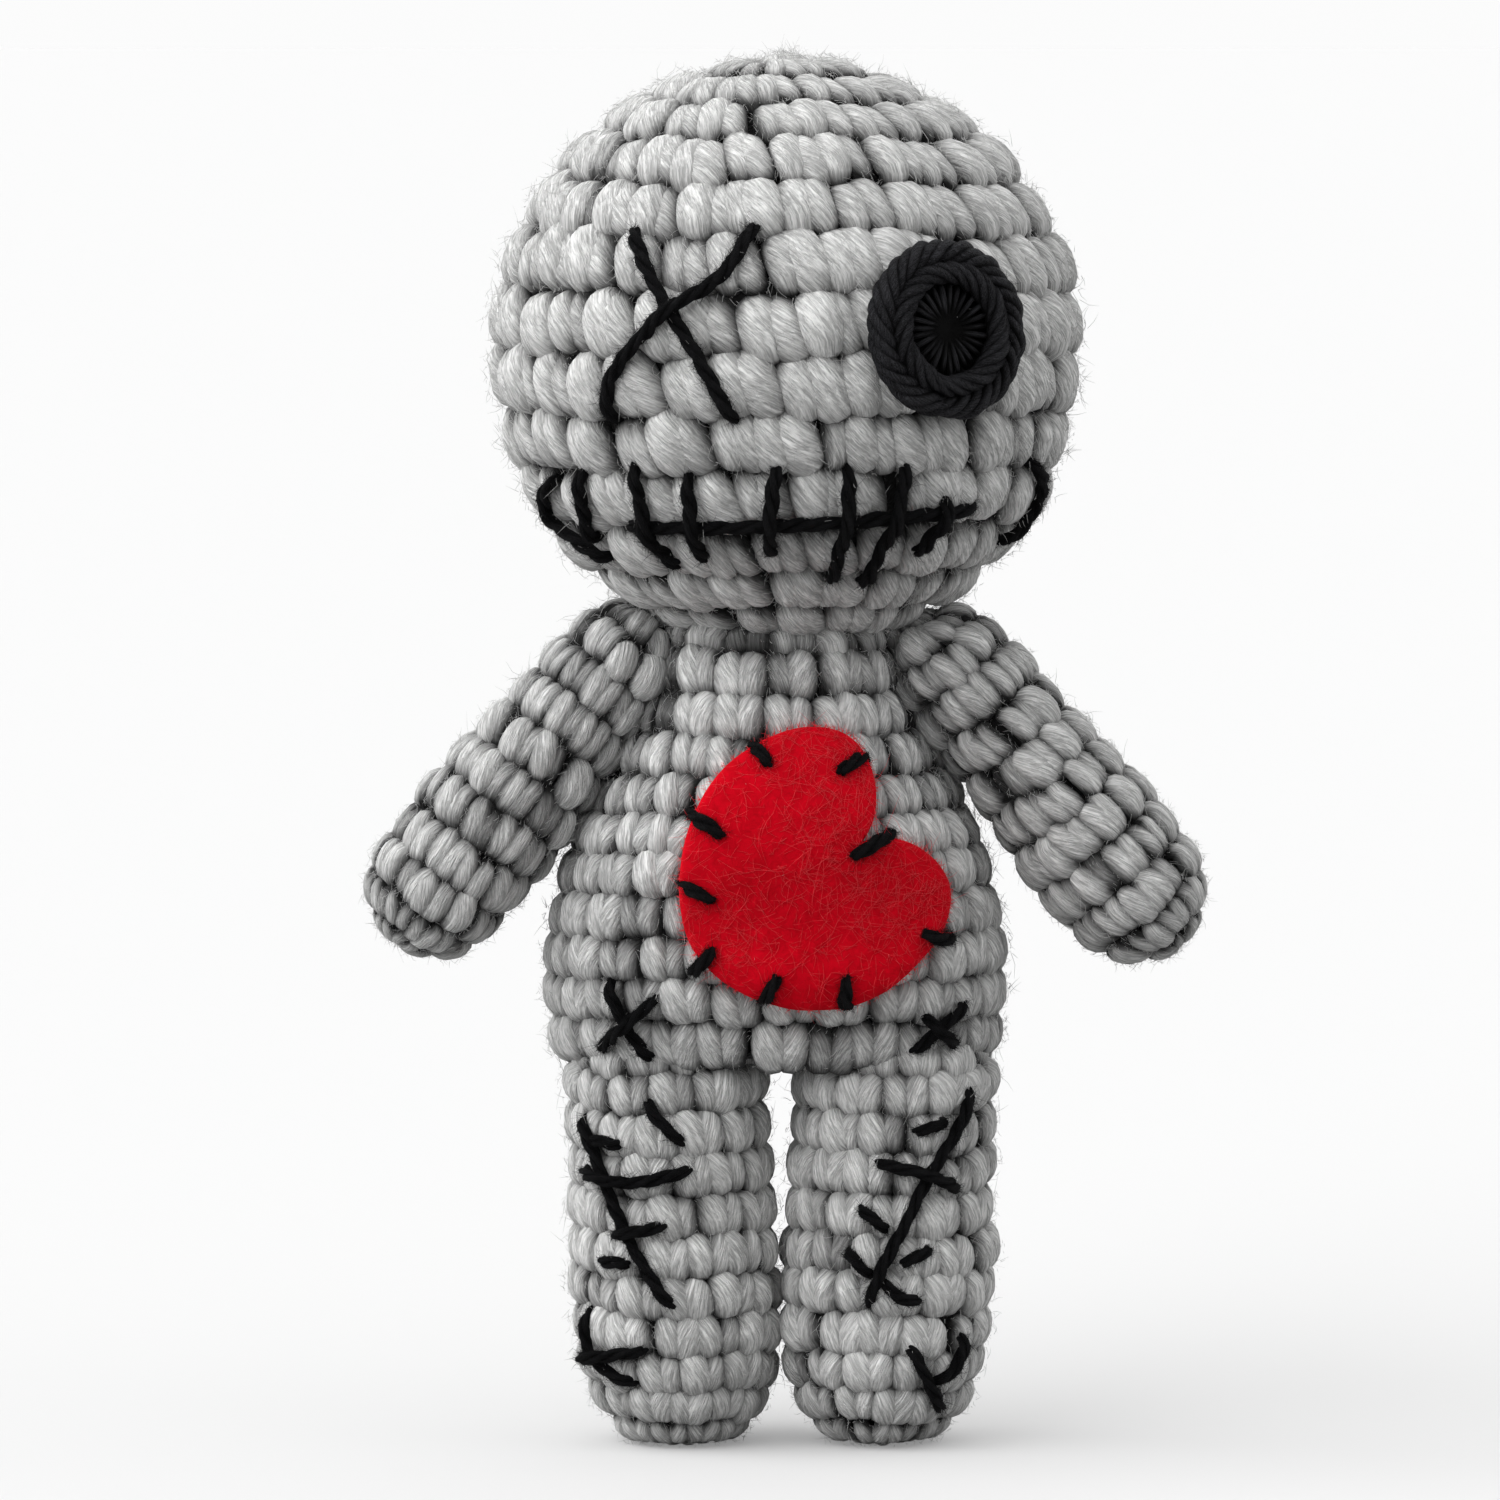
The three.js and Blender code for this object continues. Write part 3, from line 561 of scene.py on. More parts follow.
def drawn_in(strands, root, way, radius, reach, depth):
    """Strands pulled inward along the crease where another piece is sewn on, and painted darker there as
    shade.
    """
    along = np.maximum((strands.lines - root) @ way, 0)[..., None]
    gap = np.linalg.norm(strands.lines - root - along * way, axis=-1) - radius
    near = np.clip(1 - gap / reach, 0, 1)
    facing = np.clip(-2.2 * strands.outs[..., 1] - 0.35, 0, 1)
    pull = depth * facing * near * near * (3 - 2 * near)
    # The lift that the painted shade reads is lowered too, so the pulled stitches are painted darker.
    return strands._replace(
        lines=strands.lines - strands.outs * pull[..., None], lifts=strands.lifts - 0.45 * pull)


rng = np.random.default_rng(21)
rounds = worked_rounds(RIM_WIDTH + 0.2, BODY_ROUND, TORSO_STITCHES)
strands = v_stitches(torso_form, rounds, BODY_PITCH, rng)
strands = outside(strands, (0, STAND_BACK, HEAD_HEIGHT), HEAD_RADIUS - 3)
for form in leg_forms.values():
    strands = outside(strands, form.seat + (0, 0, HIP_HEIGHT), HIP_RADIUS - 2)
for side, sign in (("left", 1), ("right", -1)):
    root = np.array((sign * SHOULDER[0], STAND_BACK - ARM_FORWARD, SHOULDER[2] - ARM_DROP[side]))
    arm_way = np.array((sign * np.sin(ARM_SPREAD), 0, -np.cos(ARM_SPREAD)))
    strands = drawn_in(strands, root, arm_way, ARM_RADIUS - 0.5, **CREASE)
head_middle = np.array((0, STAND_BACK, HEAD_HEIGHT))
strands = drawn_in(strands, head_middle, np.zeros(3), HEAD_RADIUS - 1.0, **CHIN_CREASE)
torso = mesh_piece("torso_crochet", [
    tubes(strands, STRAND_SIDES, rng, flat=FLATNESS, painted_shade_from=TORSO_PAINTED_SHADE_FROM),
    painted_shade_lining(torso_form, -LINING_DEPTH * BODY_PITCH, rings=60),
], grey_yarn)


def fuzz_pieces(name, many, strands, fuzz, rng):
    """Loose fibres over a large piece, as several meshes."""
    pieces = []
    for number in range(1, many + 1):
        fibres = loose_fibres(strands, FUZZ_COUNT, **fuzz, rng=rng)
        pieces.append(mesh_piece(f"{name}_{number}", [tubes(fibres, FIBRE_SIDES, rng)], grey_fibre))
    return pieces


torso_fuzz = fuzz_pieces("torso_fuzz", 2, strands, TORSO_FUZZ, rng)
for piece in (torso, *torso_fuzz):
    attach(piece, "torso")
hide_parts("torso_shell")

# Head: a grey ball in thicker stitches, worked up from the neck and drawn shut at the crown.
# It is packed firm and sewn down over the round neck.
HEAD_ROUND = 6.28
HEAD_START = 2.9
HEAD_PITCH = 6.0
HEAD_TWIST = -0.34
HEAD_SLANT = -0.36
# Depth at which the head's painted shade starts.
HEAD_PAINTED_SHADE_FROM = 0.075
HEAD_FUZZ = {"length": 0.9, "thickness": 0.026}
CROWN_HEIGHT = 3.2
CROWN_STITCHES = 5
HEAD_STITCHES = (10, 16, 22, 27, 30, 31, 31, 31, 31, 30, 27, 22, 16, 10)
swing = np.linspace(-np.pi / 2, np.pi / 2, 120)
head_form = StuffedForm(
    np.stack([HEAD_RADIUS * np.cos(swing), HEAD_RADIUS * np.sin(swing)], -1), seat=(0, 0, HEAD_HEIGHT))
rng = np.random.default_rng(31)
head_lobes = [[(0.9 * x, 1 - up, depth - 0.01, 1.04 * half) for x, up, depth, half in lobe[::-1]]
              for lobe in (LEFT_LOBE, RIGHT_LOBE)]
rounds = worked_rounds(HEAD_START, HEAD_ROUND, HEAD_STITCHES)
rounds.append((HEAD_START + len(rounds) * HEAD_ROUND, CROWN_HEIGHT, CROWN_STITCHES))
strands = v_stitches(
    head_form, rounds, HEAD_PITCH, rng, head_lobes, (HEAD_TWIST, HEAD_TWIST), slant=HEAD_SLANT, uneven=1.25)
strands = outside(strands, (0, STAND_BACK, NECK_HEIGHT), NECK_RADIUS - 1)
head = mesh_piece("head_crochet", [
    tubes(strands, STRAND_SIDES, rng, flat=FLATNESS, painted_shade_from=HEAD_PAINTED_SHADE_FROM),
    painted_shade_lining(head_form, -LINING_DEPTH * HEAD_PITCH),
], grey_yarn)
head_fuzz = fuzz_pieces("head_fuzz", 3, strands, HEAD_FUZZ, rng)
for piece in (head, *head_fuzz):
    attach(piece, "head")
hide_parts("head_shell")

# Arms: two short grey tubes, worked from the hand up, stuffed, and sewn on just under the head.
# They hang out from the sides of the torso on the soft seam at their roots.
ARM_LENGTH = 33.9
ARM_ROOT_RADIUS = 6.4
ARM_TUCK = 2.2
HAND_SHARE = 0.97
ARM_PITCH = 0.94 * BODY_PITCH
ARM_SLANT = -0.15
ARM_FLATNESS = 0.85
hand = np.linspace(-np.pi / 2, 0, 24)[:-1]
dome = np.linspace(0, np.pi / 2, 24)[1:]
arm_outline = np.concatenate([
    np.stack([ARM_RADIUS * HAND_SHARE * np.cos(hand),
              ARM_RADIUS - ARM_LENGTH + ARM_RADIUS * np.sin(hand)], -1),
    curve_through([
        (ARM_RADIUS * HAND_SHARE, ARM_RADIUS - ARM_LENGTH),
        (ARM_RADIUS, -ARM_LENGTH * 0.5),
        (ARM_ROOT_RADIUS + 0.4, -ARM_ROOT_RADIUS),
        (ARM_ROOT_RADIUS, ARM_TUCK),
    ], 50)[:-1],
    np.stack([ARM_ROOT_RADIUS * np.cos(dome), ARM_TUCK + ARM_ROOT_RADIUS * np.sin(dome)], -1),
])
ARM_STITCHES = (6, 11, 12, 12, 12, 12, 11, 11, 11, 10, 8, 6)
for side, sign in (("left", 1), ("right", -1)):
    rng = np.random.default_rng(41 if sign > 0 else 42)
    spread = -sign * ARM_SPREAD
    turn = ((np.cos(spread), 0, np.sin(spread)), (0, 1, 0), (-np.sin(spread), 0, np.cos(spread)))
    seat = (sign * SHOULDER[0], -ARM_FORWARD, SHOULDER[2] - ARM_DROP[side])
    form = StuffedForm(arm_outline, seat=seat, turn=turn)
    rounds = worked_rounds(0.0, BODY_ROUND, ARM_STITCHES)
    strands = v_stitches(
        form, rounds, ARM_PITCH, rng, twists=(-YARN_TWIST, -YARN_TWIST), slant=ARM_SLANT, uneven=1.4)
    # The arms' painted shade starts right at the outside.
    arm = mesh_piece(f"{side}_arm_crochet", [
        tubes(strands, STRAND_SIDES, rng, flat=ARM_FLATNESS, painted_shade_from=0.0),
        painted_shade_lining(form, -LINING_DEPTH * BODY_PITCH),
    ], grey_yarn)
    hairs = loose_fibres(strands, FUZZ_COUNT, **LIMB_FUZZ, rng=rng)
    fuzz = mesh_piece(f"{side}_arm_fuzz", [tubes(hairs, FIBRE_SIDES, rng)], grey_fibre)
    root, elbow = (form.seat + form.turn @ (0, 0, down) for down in (ARM_TUCK, -ARM_ROOT_RADIUS))
    for piece in (arm, fuzz):
        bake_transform(piece)
    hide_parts(f"{side}_arm_shell")

# Seams: grey sewing yarn whipped round the neck under the head and round each arm root.
# Each is a ring of short slanting stitches, hidden for the most part in the fold.
SEAM_HALF = 0.45
SEAM_TAPER = np.array((0.5, 0.85, 1, 1, 1, 1, 0.85, 0.5))
SEAM_SIDES = 8
SEAM_ROOT = 5.6
SEAM_GAP = 0.3
SEAM_WAY = (0.8767, 0, 0.4810)
ARM_SEAM_STITCHES = 12
NECK_FOLD = 81.3
NECK_RING = NECK_TUBE - 1.6
NECK_SEAM_STITCHES = 26


def whipped_ring(centre, axis, radius, count, rng):
    """A ring of short strands that slant round a circle."""
    axis = unit(np.asarray(axis, float))
    across = unit(np.cross(axis, (0, 1, 0.001)))
    up = np.cross(axis, across)
    points = len(SEAM_TAPER)
    angle = 2 * np.pi * (np.arange(count)[:, None] + np.linspace(-0.62, 0.62, points)) / count
    out = across * np.cos(angle)[..., None] + up * np.sin(angle)[..., None]
    bow = np.linspace(-np.pi / 2, np.pi / 2, points)[:, None]
    slant, bulge = np.sin(bow) * axis * 0.55, 0.35 * np.cos(bow)
    lines = np.asarray(centre, float) + (0, STAND_BACK, 0) + out * (radius - 0.15 + bulge) + slant
    halves = np.broadcast_to(SEAM_HALF * SEAM_TAPER, lines.shape[:2])
    return tubes(Strands(lines, out, halves, np.zeros(halves.shape)), SEAM_SIDES, rng)


rng = np.random.default_rng(51)
seams = {"neck": whipped_ring((0, 0, NECK_FOLD), (0, 0, 1), NECK_RING, NECK_SEAM_STITCHES, rng)}
for side, sign in (("left", 1), ("right", -1)):
    outward = np.array(SEAM_WAY) * (sign, 1, 1)
    seam_depth = SEAM_ROOT - SEAM_HALF
    ring_radius = np.sqrt((SEAM_ROOT + SEAM_GAP + SEAM_HALF) ** 2 - seam_depth**2)
    seat = np.array((sign * SHOULDER[0], 0, SHOULDER[2])) - outward * seam_depth
    rng = np.random.default_rng(52 + sign)
    seams[f"{side}_shoulder"] = whipped_ring(seat, outward, ring_radius, ARM_SEAM_STITCHES, rng)
for body, ring in seams.items():
    seam = mesh_piece(f"{body}_sewing", [ring], grey_yarn)
    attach(seam, body)
    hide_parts(f"{body}_seam")

# Face, round eye: a small disc of thick black yarn, worked out from a drawn ring.
# Fine spokes fill its middle, and two ropes of stitches lie round its rim. It is sewn flat to the head.
EYE_TURN = np.radians(30.9)
EYE_RISE = np.radians(6.0)
EYE_GAP = 0.3
EYE_LINING = 0.6
# The disc's section from its back round the rim to the middle of its face: place across, height
EYE_SECTION = (
    (0, 0.2), (6.0, -0.7), (8.0, -0.5), (8.3, 0.5), (7.4, 1.3),
    (6.3, 1.4), (5.1, 1.2), (3.8, 1.0), (2.2, 0.9), (0, 0.8),
)
# Each rope: distance from the middle, half thickness, lift, length of one twist
EYE_ROPES = ((5.5, 1.25, 0.1, -8.0), (7.65, 1.4, -0.1, 8.0))
ROPE_OVERLAP = 2.4
EYE_PLIES = 5
# How far the eye's plies are painted darker between them, as painted shade.
EYE_SHADE = 0.95
EYE_FUZZ = {"count": 380, "length": 0.7, "thickness": 0.022}
# One spoke, in the same order as a strand of a stitch
SPOKE = (
    (0.06, -0.08, -0.6, 0.16),
    (0.05, 0.1, -0.28, 0.24),
    (0.03, 0.45, -0.28, 0.24),
    (0.0, 0.8, -0.45, 0.17),
    (0.0, 1.0, -0.8, 0.10),
)
SPOKE_REACH = 4.3
SPOKE_LENGTH = 4.0
SPOKE_COUNT = 27
SPOKE_PITCH = 2.0
PLY_COUNT = 3
PLY_PITCH = 7.5
PLY_STEP = 0.42
PLY_SIDES = 8
PLY_TWIST = 1.6
black_yarn = yarn_material(
    "black yarn", (0.0012, 0.0012, 0.0016), (0.016, 0.016, 0.018),
    sheen=0.0, bump=1.0, rough=0.7, gloss=0.09)
# Painted sheen: the eye's black yarn has far lighter fibre streaks than the other black yarn, standing in
# for the glint of its fibres.
sheen_painted_eye_yarn = yarn_material(
    "black eye yarn with painted sheen", (0.0008, 0.0008, 0.0012), (0.09, 0.09, 0.1),
    sheen=0.0, bump=1.0, rough=0.5, gloss=0.07)


def plied(line, out, half, rng, pitch=PLY_PITCH, plies=PLY_COUNT, sunk=0.0):
    """A strand as its twisted plies, evenly stepped along its line, painted darker between the plies by the
    given share of painted shade.
    """
    steps = np.linalg.norm(np.diff(line, axis=0), axis=1)
    run = np.concatenate([[0], np.cumsum(steps)])
    count = max(14, int(run[-1] / PLY_STEP))
    at = np.linspace(0, run[-1], count)
    core = np.stack([np.interp(at, run, line[:, i]) for i in range(3)], -1)[None]
    way_out = unit(np.stack([np.interp(at, run, out[:, i]) for i in range(3)], -1))[None]
    _, side, up = strand_axes(core, way_out)
    turn = 2 * np.pi * (at / pitch + rng.uniform()) + 2 * np.pi * np.arange(plies)[:, None] / plies
    offset = side * np.cos(turn)[..., None] + up * np.sin(turn)[..., None]
    loose = 1 + 0.16 * np.sin(at / 1.3 + rng.uniform(0, 6, (plies, 1)))
    taper = 0.35 + 0.65 * np.sqrt(np.clip(np.minimum(at, run[-1] - at) / 3.0, 0, 1))
    ply = 1.06 * np.sin(np.pi / plies) / (1 + np.sin(np.pi / plies))
    lines = core + ((1 - ply) * half * loose * taper)[..., None] * offset
    halves = ply * half * taper * (1 + 0.08 * np.sin(at / 0.9 + rng.uniform(0, 6, (plies, 1))))
    return Strands(lines, np.repeat(way_out, plies, 0), halves, -sunk * halves)


eye_way = np.array((
    np.cos(EYE_RISE) * np.sin(EYE_TURN), -np.cos(EYE_RISE) * np.cos(EYE_TURN), np.sin(EYE_RISE)))
eye_side = unit(np.cross((0, 0, 1), eye_way))
eye_turn = np.stack([eye_side, np.cross(eye_way, eye_side), eye_way], 1)
eye_outline = curve_through(EYE_SECTION, 80)
eye_outline[:, 0] = np.clip(eye_outline[:, 0], 0, None)
eye_outline[:, 1] += np.sqrt((HEAD_RADIUS + EYE_GAP) ** 2 - eye_outline[:, 0] ** 2)
eye_form = StuffedForm(eye_outline, seat=(0, 0, HEAD_HEIGHT), turn=eye_turn)
rng = np.random.default_rng(61)
middle_round = [(eye_form.length - SPOKE_REACH, SPOKE_LENGTH, SPOKE_COUNT)]
spokes = v_stitches(eye_form, middle_round, SPOKE_PITCH, rng, (SPOKE,), (0.0,))
eye_blocks = [tubes(spokes, PLY_SIDES, rng), painted_shade_lining(eye_form, -EYE_LINING)]
for reach, half, lift, pitch in EYE_ROPES:
    around = -np.linspace(0, 2 * np.pi + ROPE_OVERLAP / reach, 120)
    run = np.full_like(around, eye_form.length - reach)
    line, out = eye_form.place(around, run, np.full_like(around, lift))
    plies = plied(line, out, half, rng, pitch, EYE_PLIES, EYE_SHADE)
    eye_blocks.append(tubes(plies, PLY_SIDES, rng, PLY_TWIST))
    eye_blocks.append(tubes(loose_fibres(plies, **EYE_FUZZ, rng=rng), FIBRE_SIDES, rng))
eye = mesh_piece("round_eye", eye_blocks, sheen_painted_eye_yarn)
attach(eye, "head")
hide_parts("eye_disc")

# Face, X eye and mouth: single strands of black yarn sewn over the stitches of the head.
# Each strand comes up through the fabric, lies over it, climbs any strand it crosses and goes back in.
FACE_HALF = 0.74
STITCH_LIFT = 0.3
STITCH_DIP = 2.0
CLIMB = 1.2
CLIMB_REACH = 3.6
LINE_POINTS = 90
HAIRS_PER_MM = 60
STRAND_FUZZ = {"length": 0.7, "thickness": 0.02}


def sewn_line(surface, waypoints, crossed=None):
    """The line of a sewn strand: over its surface, up over the strand it crosses, in at both ends."""
    plan = curve_through(waypoints, LINE_POINTS)
    line, out = surface(plan[:, 0], plan[:, 1])
    steps = np.linalg.norm(np.diff(line, axis=0), axis=1)
    run = np.concatenate([[0], np.cumsum(steps)])
    lift = np.full(len(plan), STITCH_LIFT)
    if crossed is not None:
        under = surface(*curve_through(crossed, LINE_POINTS).T)[0]
        apart = np.linalg.norm(line[:, None] - under[None], axis=-1).min(1)
        away = np.clip(np.abs(run - run[apart.argmin()]) / CLIMB_REACH, 0, 1)
        lift = lift + CLIMB * np.cos(away * np.pi / 2) ** 2
    end = np.clip(np.minimum(run, run[-1] - run) / min(2.0, 0.2 * run[-1]), 0, 1)
    lift = lift - (1 - np.sqrt(1 - (1 - end) ** 2)) * (STITCH_DIP + STITCH_LIFT)
    return line + out * lift[:, None], out


def sewn_strand(node, line, out, rng, half):
    """One sewn strand of black yarn with its loose hairs, in place of its solid."""
    plies = plied(line, out, half, rng)
    count = int(HAIRS_PER_MM * np.linalg.norm(np.diff(line, axis=0), axis=1).sum())
    hairs = loose_fibres(plies, count, **STRAND_FUZZ, rng=rng)
    blocks = [tubes(plies, PLY_SIDES, rng, PLY_TWIST), tubes(hairs, FIBRE_SIDES, rng)]
    piece = mesh_piece(f"{node}_yarn", blocks, black_yarn)
    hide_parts(node)
    return piece


def on_head(turn, rise):
    """Places on the head, by degrees round it and up it."""
    return head_form.place(np.radians(turn), HEAD_RADIUS * (np.radians(rise) + np.pi / 2))


# Waypoints in degrees round the head and up it
EYE_STROKE = ((-34.6, 26.4), (-27.7, 16.3), (-23.5, 10.7), (-16.7, 0.8), (-10, -11.4))
EYE_CROSS = ((-6.6, 27.4), (-12.4, 17.1), (-20.9, 10.7), (-30, 3.1), (-35.7, -4.6), (-36.2, -11.8))
MOUTH = ((-39.5, -33.4), (-25.8, -33), (-3, -32.3), (22.4, -30.7), (46.5, -29.2))
MOUTH_BARS = (
    ((-33, -20), (-32.4, -27), (-31.8, -34.8), (-29.8, -44)),
    ((-21.1, -22), (-20.7, -30.2), (-21.1, -42)),
    ((-2, -19.5), (-3.4, -28.5), (-3.9, -40.5)),
    ((12.5, -20.5), (12.8, -28.5), (12.4, -48)),
    ((25, -19.5), (23.8, -28.7), (22, -49)),
    ((35.8, -27), (35, -34.1), (34.4, -40.5)),
)
MOUTH_CORNERS = (
    ((-61, -24.5), (-68, -32), (-60, -37.5), (-51.5, -42.6)),
    ((-48, -22), (-50.3, -30.2), (-54.4, -38)),
    ((63.5, -21), (70, -26.3), (72, -32.3), (69, -39.5)),
)
face = [("x_eye_stitch_1", EYE_STROKE, None), ("x_eye_stitch_2", EYE_CROSS, EYE_STROKE),
        ("mouth_line", MOUTH, None)]
face += [(f"mouth_bar_{i + 1}", bar, MOUTH) for i, bar in enumerate(MOUTH_BARS)]
face += [(f"mouth_corner_{i + 1}", tuck, None) for i, tuck in enumerate(MOUTH_CORNERS)]
rng = np.random.default_rng(71)
for node, waypoints, crossed in face:
    line, out = sewn_line(on_head, waypoints, crossed)
    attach(sewn_strand(node, line, out, rng, FACE_HALF), "head")

# Hip and leg marks: the same black strands, as crosses on the hips and long ladders down the legs.
# They are sewn through the finished fabric.
MARK_HALF = 0.67
# Waypoints across and up the front
RIGHT_HIP = ((-17.9, 47.6), (-16.0, 43.5), (-13.4, 39.4))
LEFT_HIP = ((18.1, 45.3), (12.3, 40.2))
RIGHT_THIGH = ((-20.6, 33.6), (-18.9, 30.0), (-16.0, 22.6), (-12.8, 17.0), (-11.0, 14.8))
RIGHT_ANKLE = ((-20.0, 14.2), (-19.7, 10.6), (-18.2, 8.6), (-15.0, 6.8))
LEFT_THIGH = (
    (18.4, 36.9), (17.4, 33.6), (15.3, 30.0), (13.6, 27.2), (11.8, 23.4), (9.8, 19.6), (8.0, 15.0))
HIP_MARKS = (
    ("right_hip_stitch_1", RIGHT_HIP, None),
    ("right_hip_stitch_2", ((-12.8, 46.1), (-16.0, 43.2), (-18.8, 40.1)), RIGHT_HIP),
    ("left_hip_stitch_1", LEFT_HIP, None),
    ("left_hip_stitch_2", ((13.8, 44.0), (16.8, 40.9)), LEFT_HIP),
)
LEG_MARKS = {
    "right": (
        (RIGHT_THIGH, None),
        (((-19.4, 31.4), (-16.6, 31.1)), None),
        (((-20.1, 28.4), (-15.4, 27.4), (-9.1, 28.8)), RIGHT_THIGH),
        (((-16.8, 22.1), (-11.8, 23.2)), RIGHT_THIGH),
        (((-18.5, 19.4), (-15.8, 19.2)), None),
        (((-13.9, 35.4), (-12.2, 33.2), (-10.1, 31.2)), None),
        (RIGHT_ANKLE, None),
        (((-19.9, 9.5), (-14.2, 10.5)), RIGHT_ANKLE),
    ),
    "left": (
        (LEFT_THIGH, None),
        (((12.9, 32.5), (15.9, 33.4)), None),
        (((8.8, 29.4), (13.3, 28.4), (17.5, 26.4)), LEFT_THIGH),
        (((7.3, 24.9), (9.9, 22.8)), None),
        (((6, 20.5), (8.3, 18.2)), None),
        (((9.7, 17.7), (10.8, 16.3), (13.3, 15.6)), None),
        (((11.5, 19.4), (14.3, 20.8)), None),
        (((12.2, 11.3), (13.8, 8.0), (15.6, 3.8)), None),
        (((17.8, 11.8), (16.9, 9.0), (14.8, 7.0)), None),
    ),
}


def on_front(form):
    """A way to put places across and up the front onto a form."""
    def put(across, height, lift=0.0):
        run = form.run_at(height)
        reach = form.radius(run) + lift
        turn = np.arcsin(np.clip((across - form.bare(0.0, run)[..., 0]) / reach, -0.98, 0.98))
        return form.place(turn, run, lift)

    return put


rng = np.random.default_rng(81)
for node, waypoints, crossed in HIP_MARKS:
    line, out = sewn_line(on_front(torso_form), waypoints, crossed)
    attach(sewn_strand(node, line, out, rng, MARK_HALF), "torso")
for side, marks in LEG_MARKS.items():
    for number, (waypoints, crossed) in enumerate(marks, 1):
        line, out = sewn_line(on_front(leg_forms[side]), waypoints, crossed)
        mark = sewn_strand(f"{side}_leg_stitch_{number}", line, out, rng, MARK_HALF)
        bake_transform(mark)

# Heart: a patch cut from a sheet of red pressed felt and laid tilted over the front of the torso.
# Its cut edge is soft and hairy, and it is held by the whip stitches round it.
HEART_WIDTH = 27.3
HEART_LENGTH = 24.8
HEART_CLEFT = 4.85
HEART_TILT = np.radians(55.8)
HEART_SHIFT = 1.2
HEART_RISE = 19.35
FELT_LOW = 0.25
FELT_HIGH = 1.45
FLAT_RINGS = 15


def bend(a, b, c, d, count=24):
    """Points of one curved part of the pattern, without its last."""
    t = np.linspace(0, 1, count, endpoint=False)[:, None]
    a, b, c, d = (np.asarray(p, float) for p in (a, b, c, d))
    return a * (1 - t) ** 3 + 3 * b * t * (1 - t) ** 2 + 3 * c * t**2 * (1 - t) + d * t**3


def heart_pattern():
    """The flat outline of the heart, up its right side from the point and down its left."""
    half, long, cleft = HEART_WIDTH / 2, HEART_LENGTH, HEART_LENGTH - HEART_CLEFT
    right = np.concatenate([
        bend((0, 0), (0.36 * half, 0), (half, 0.26 * long), (half, 0.6 * long)),
        bend((half, 0.6 * long), (half, 0.86 * long), (0.78 * half, long), (0.52 * half, long)),
        bend((0.52 * half, long), (0.29 * half, long), (0.06 * half, long - 0.4 * HEART_CLEFT), (0, cleft)),
        [(0, cleft)],
    ])
    left = right[::-1] * (-1, 1)
    return np.concatenate([right, left[1:-1]])


def heart_place(pattern):
    """Places across and up the front for points of the flat pattern."""
    up = pattern[..., 1] - HEART_LENGTH / 2
    return np.stack([
        HEART_SHIFT + pattern[..., 0] * np.cos(HEART_TILT) + up * np.sin(HEART_TILT),
        RIM_HEIGHT + HEART_RISE - pattern[..., 0] * np.sin(HEART_TILT) + up * np.cos(HEART_TILT),
    ], -1)


def felt_material():
    """Pressed felt: deep red, matted and a little cloudy."""
    material, shader, add, link = new_material("red felt", {
        "Roughness": 0.95, "Specular IOR Level": 0.06,
        "Sheen Weight": 0.05, "Sheen Tint": (1.0, 0.45, 0.45, 1)})
    place = add("ShaderNodeTexCoord")
    matted = add("ShaderNodeTexNoise", Scale=900.0, Detail=5.0, Roughness=0.7, Distortion=1.2)
    cloudy = add("ShaderNodeTexNoise", Scale=120.0, Detail=3.0)
    for texture in (matted, cloudy):
        link(place.outputs["Object"], texture.inputs["Vector"])
    both = add("ShaderNodeMath", operation="MULTIPLY_ADD")
    both.inputs[1].default_value = 0.45
    link(cloudy.outputs["Fac"], both.inputs[0])
    link(matted.outputs["Fac"], both.inputs[2])
    ramp = add("ShaderNodeValToRGB")
    ramp.color_ramp.elements[0].position = 0.45
    ramp.color_ramp.elements[0].color = (0.46, 0.0005, 0.006, 1)
    ramp.color_ramp.elements[1].position = 1.0
    ramp.color_ramp.elements[1].color = (0.78, 0.001, 0.014, 1)
    link(both.outputs[0], ramp.inputs["Fac"])
    link(ramp.outputs["Color"], shader.inputs["Base Color"])
    give_relief(shader, add, link, matted.outputs["Fac"], strength=0.5, distance=0.0002)
    return material


red_felt = felt_material()
red_hair = yarn_material("red felt hair", (0.72, 0.012, 0.026), (0.88, 0.10, 0.11), sheen=0.0, bump=0.0)
outline = heart_pattern()
heart_middle = np.array((0, 0.56 * HEART_LENGTH))
grow = np.concatenate([np.linspace(0.02, 0.93, FLAT_RINGS), [0.965, 0.988, 1.0]])
edge_round = np.concatenate([np.ones(FLAT_RINGS), [0.93, 0.78, 0.5]])
pattern = heart_middle + grow[:, None, None] * (outline - heart_middle)
across, height = np.moveaxis(heart_place(pattern), -1, 0)
rumple = 0.10 * np.sin(across * 1.15 + 0.7) * np.sin(height * 1.4)
mid_lift = (FELT_HIGH + FELT_LOW) / 2
half_felt = (FELT_HIGH - FELT_LOW) / 2 * edge_round[:, None]
on_chest = on_front(torso_form)
upper, felt_out = on_chest(across, height, mid_lift + half_felt + rumple)
lower, _ = on_chest(across, height, mid_lift - half_felt + rumple)
felt_rings = np.concatenate([lower, upper[::-1]])[None]
felt_caps = np.stack([lower[0].mean(0), upper[0].mean(0)])[None]
felt_block = {"rings": felt_rings, "caps": felt_caps, "lie": felt_rings, "shade": np.zeros(1),
              "sunk": np.zeros(felt_rings.shape[:3])}
heart = mesh_piece("felt_heart", [felt_block], red_felt)
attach(heart, "torso")
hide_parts("heart_patch")

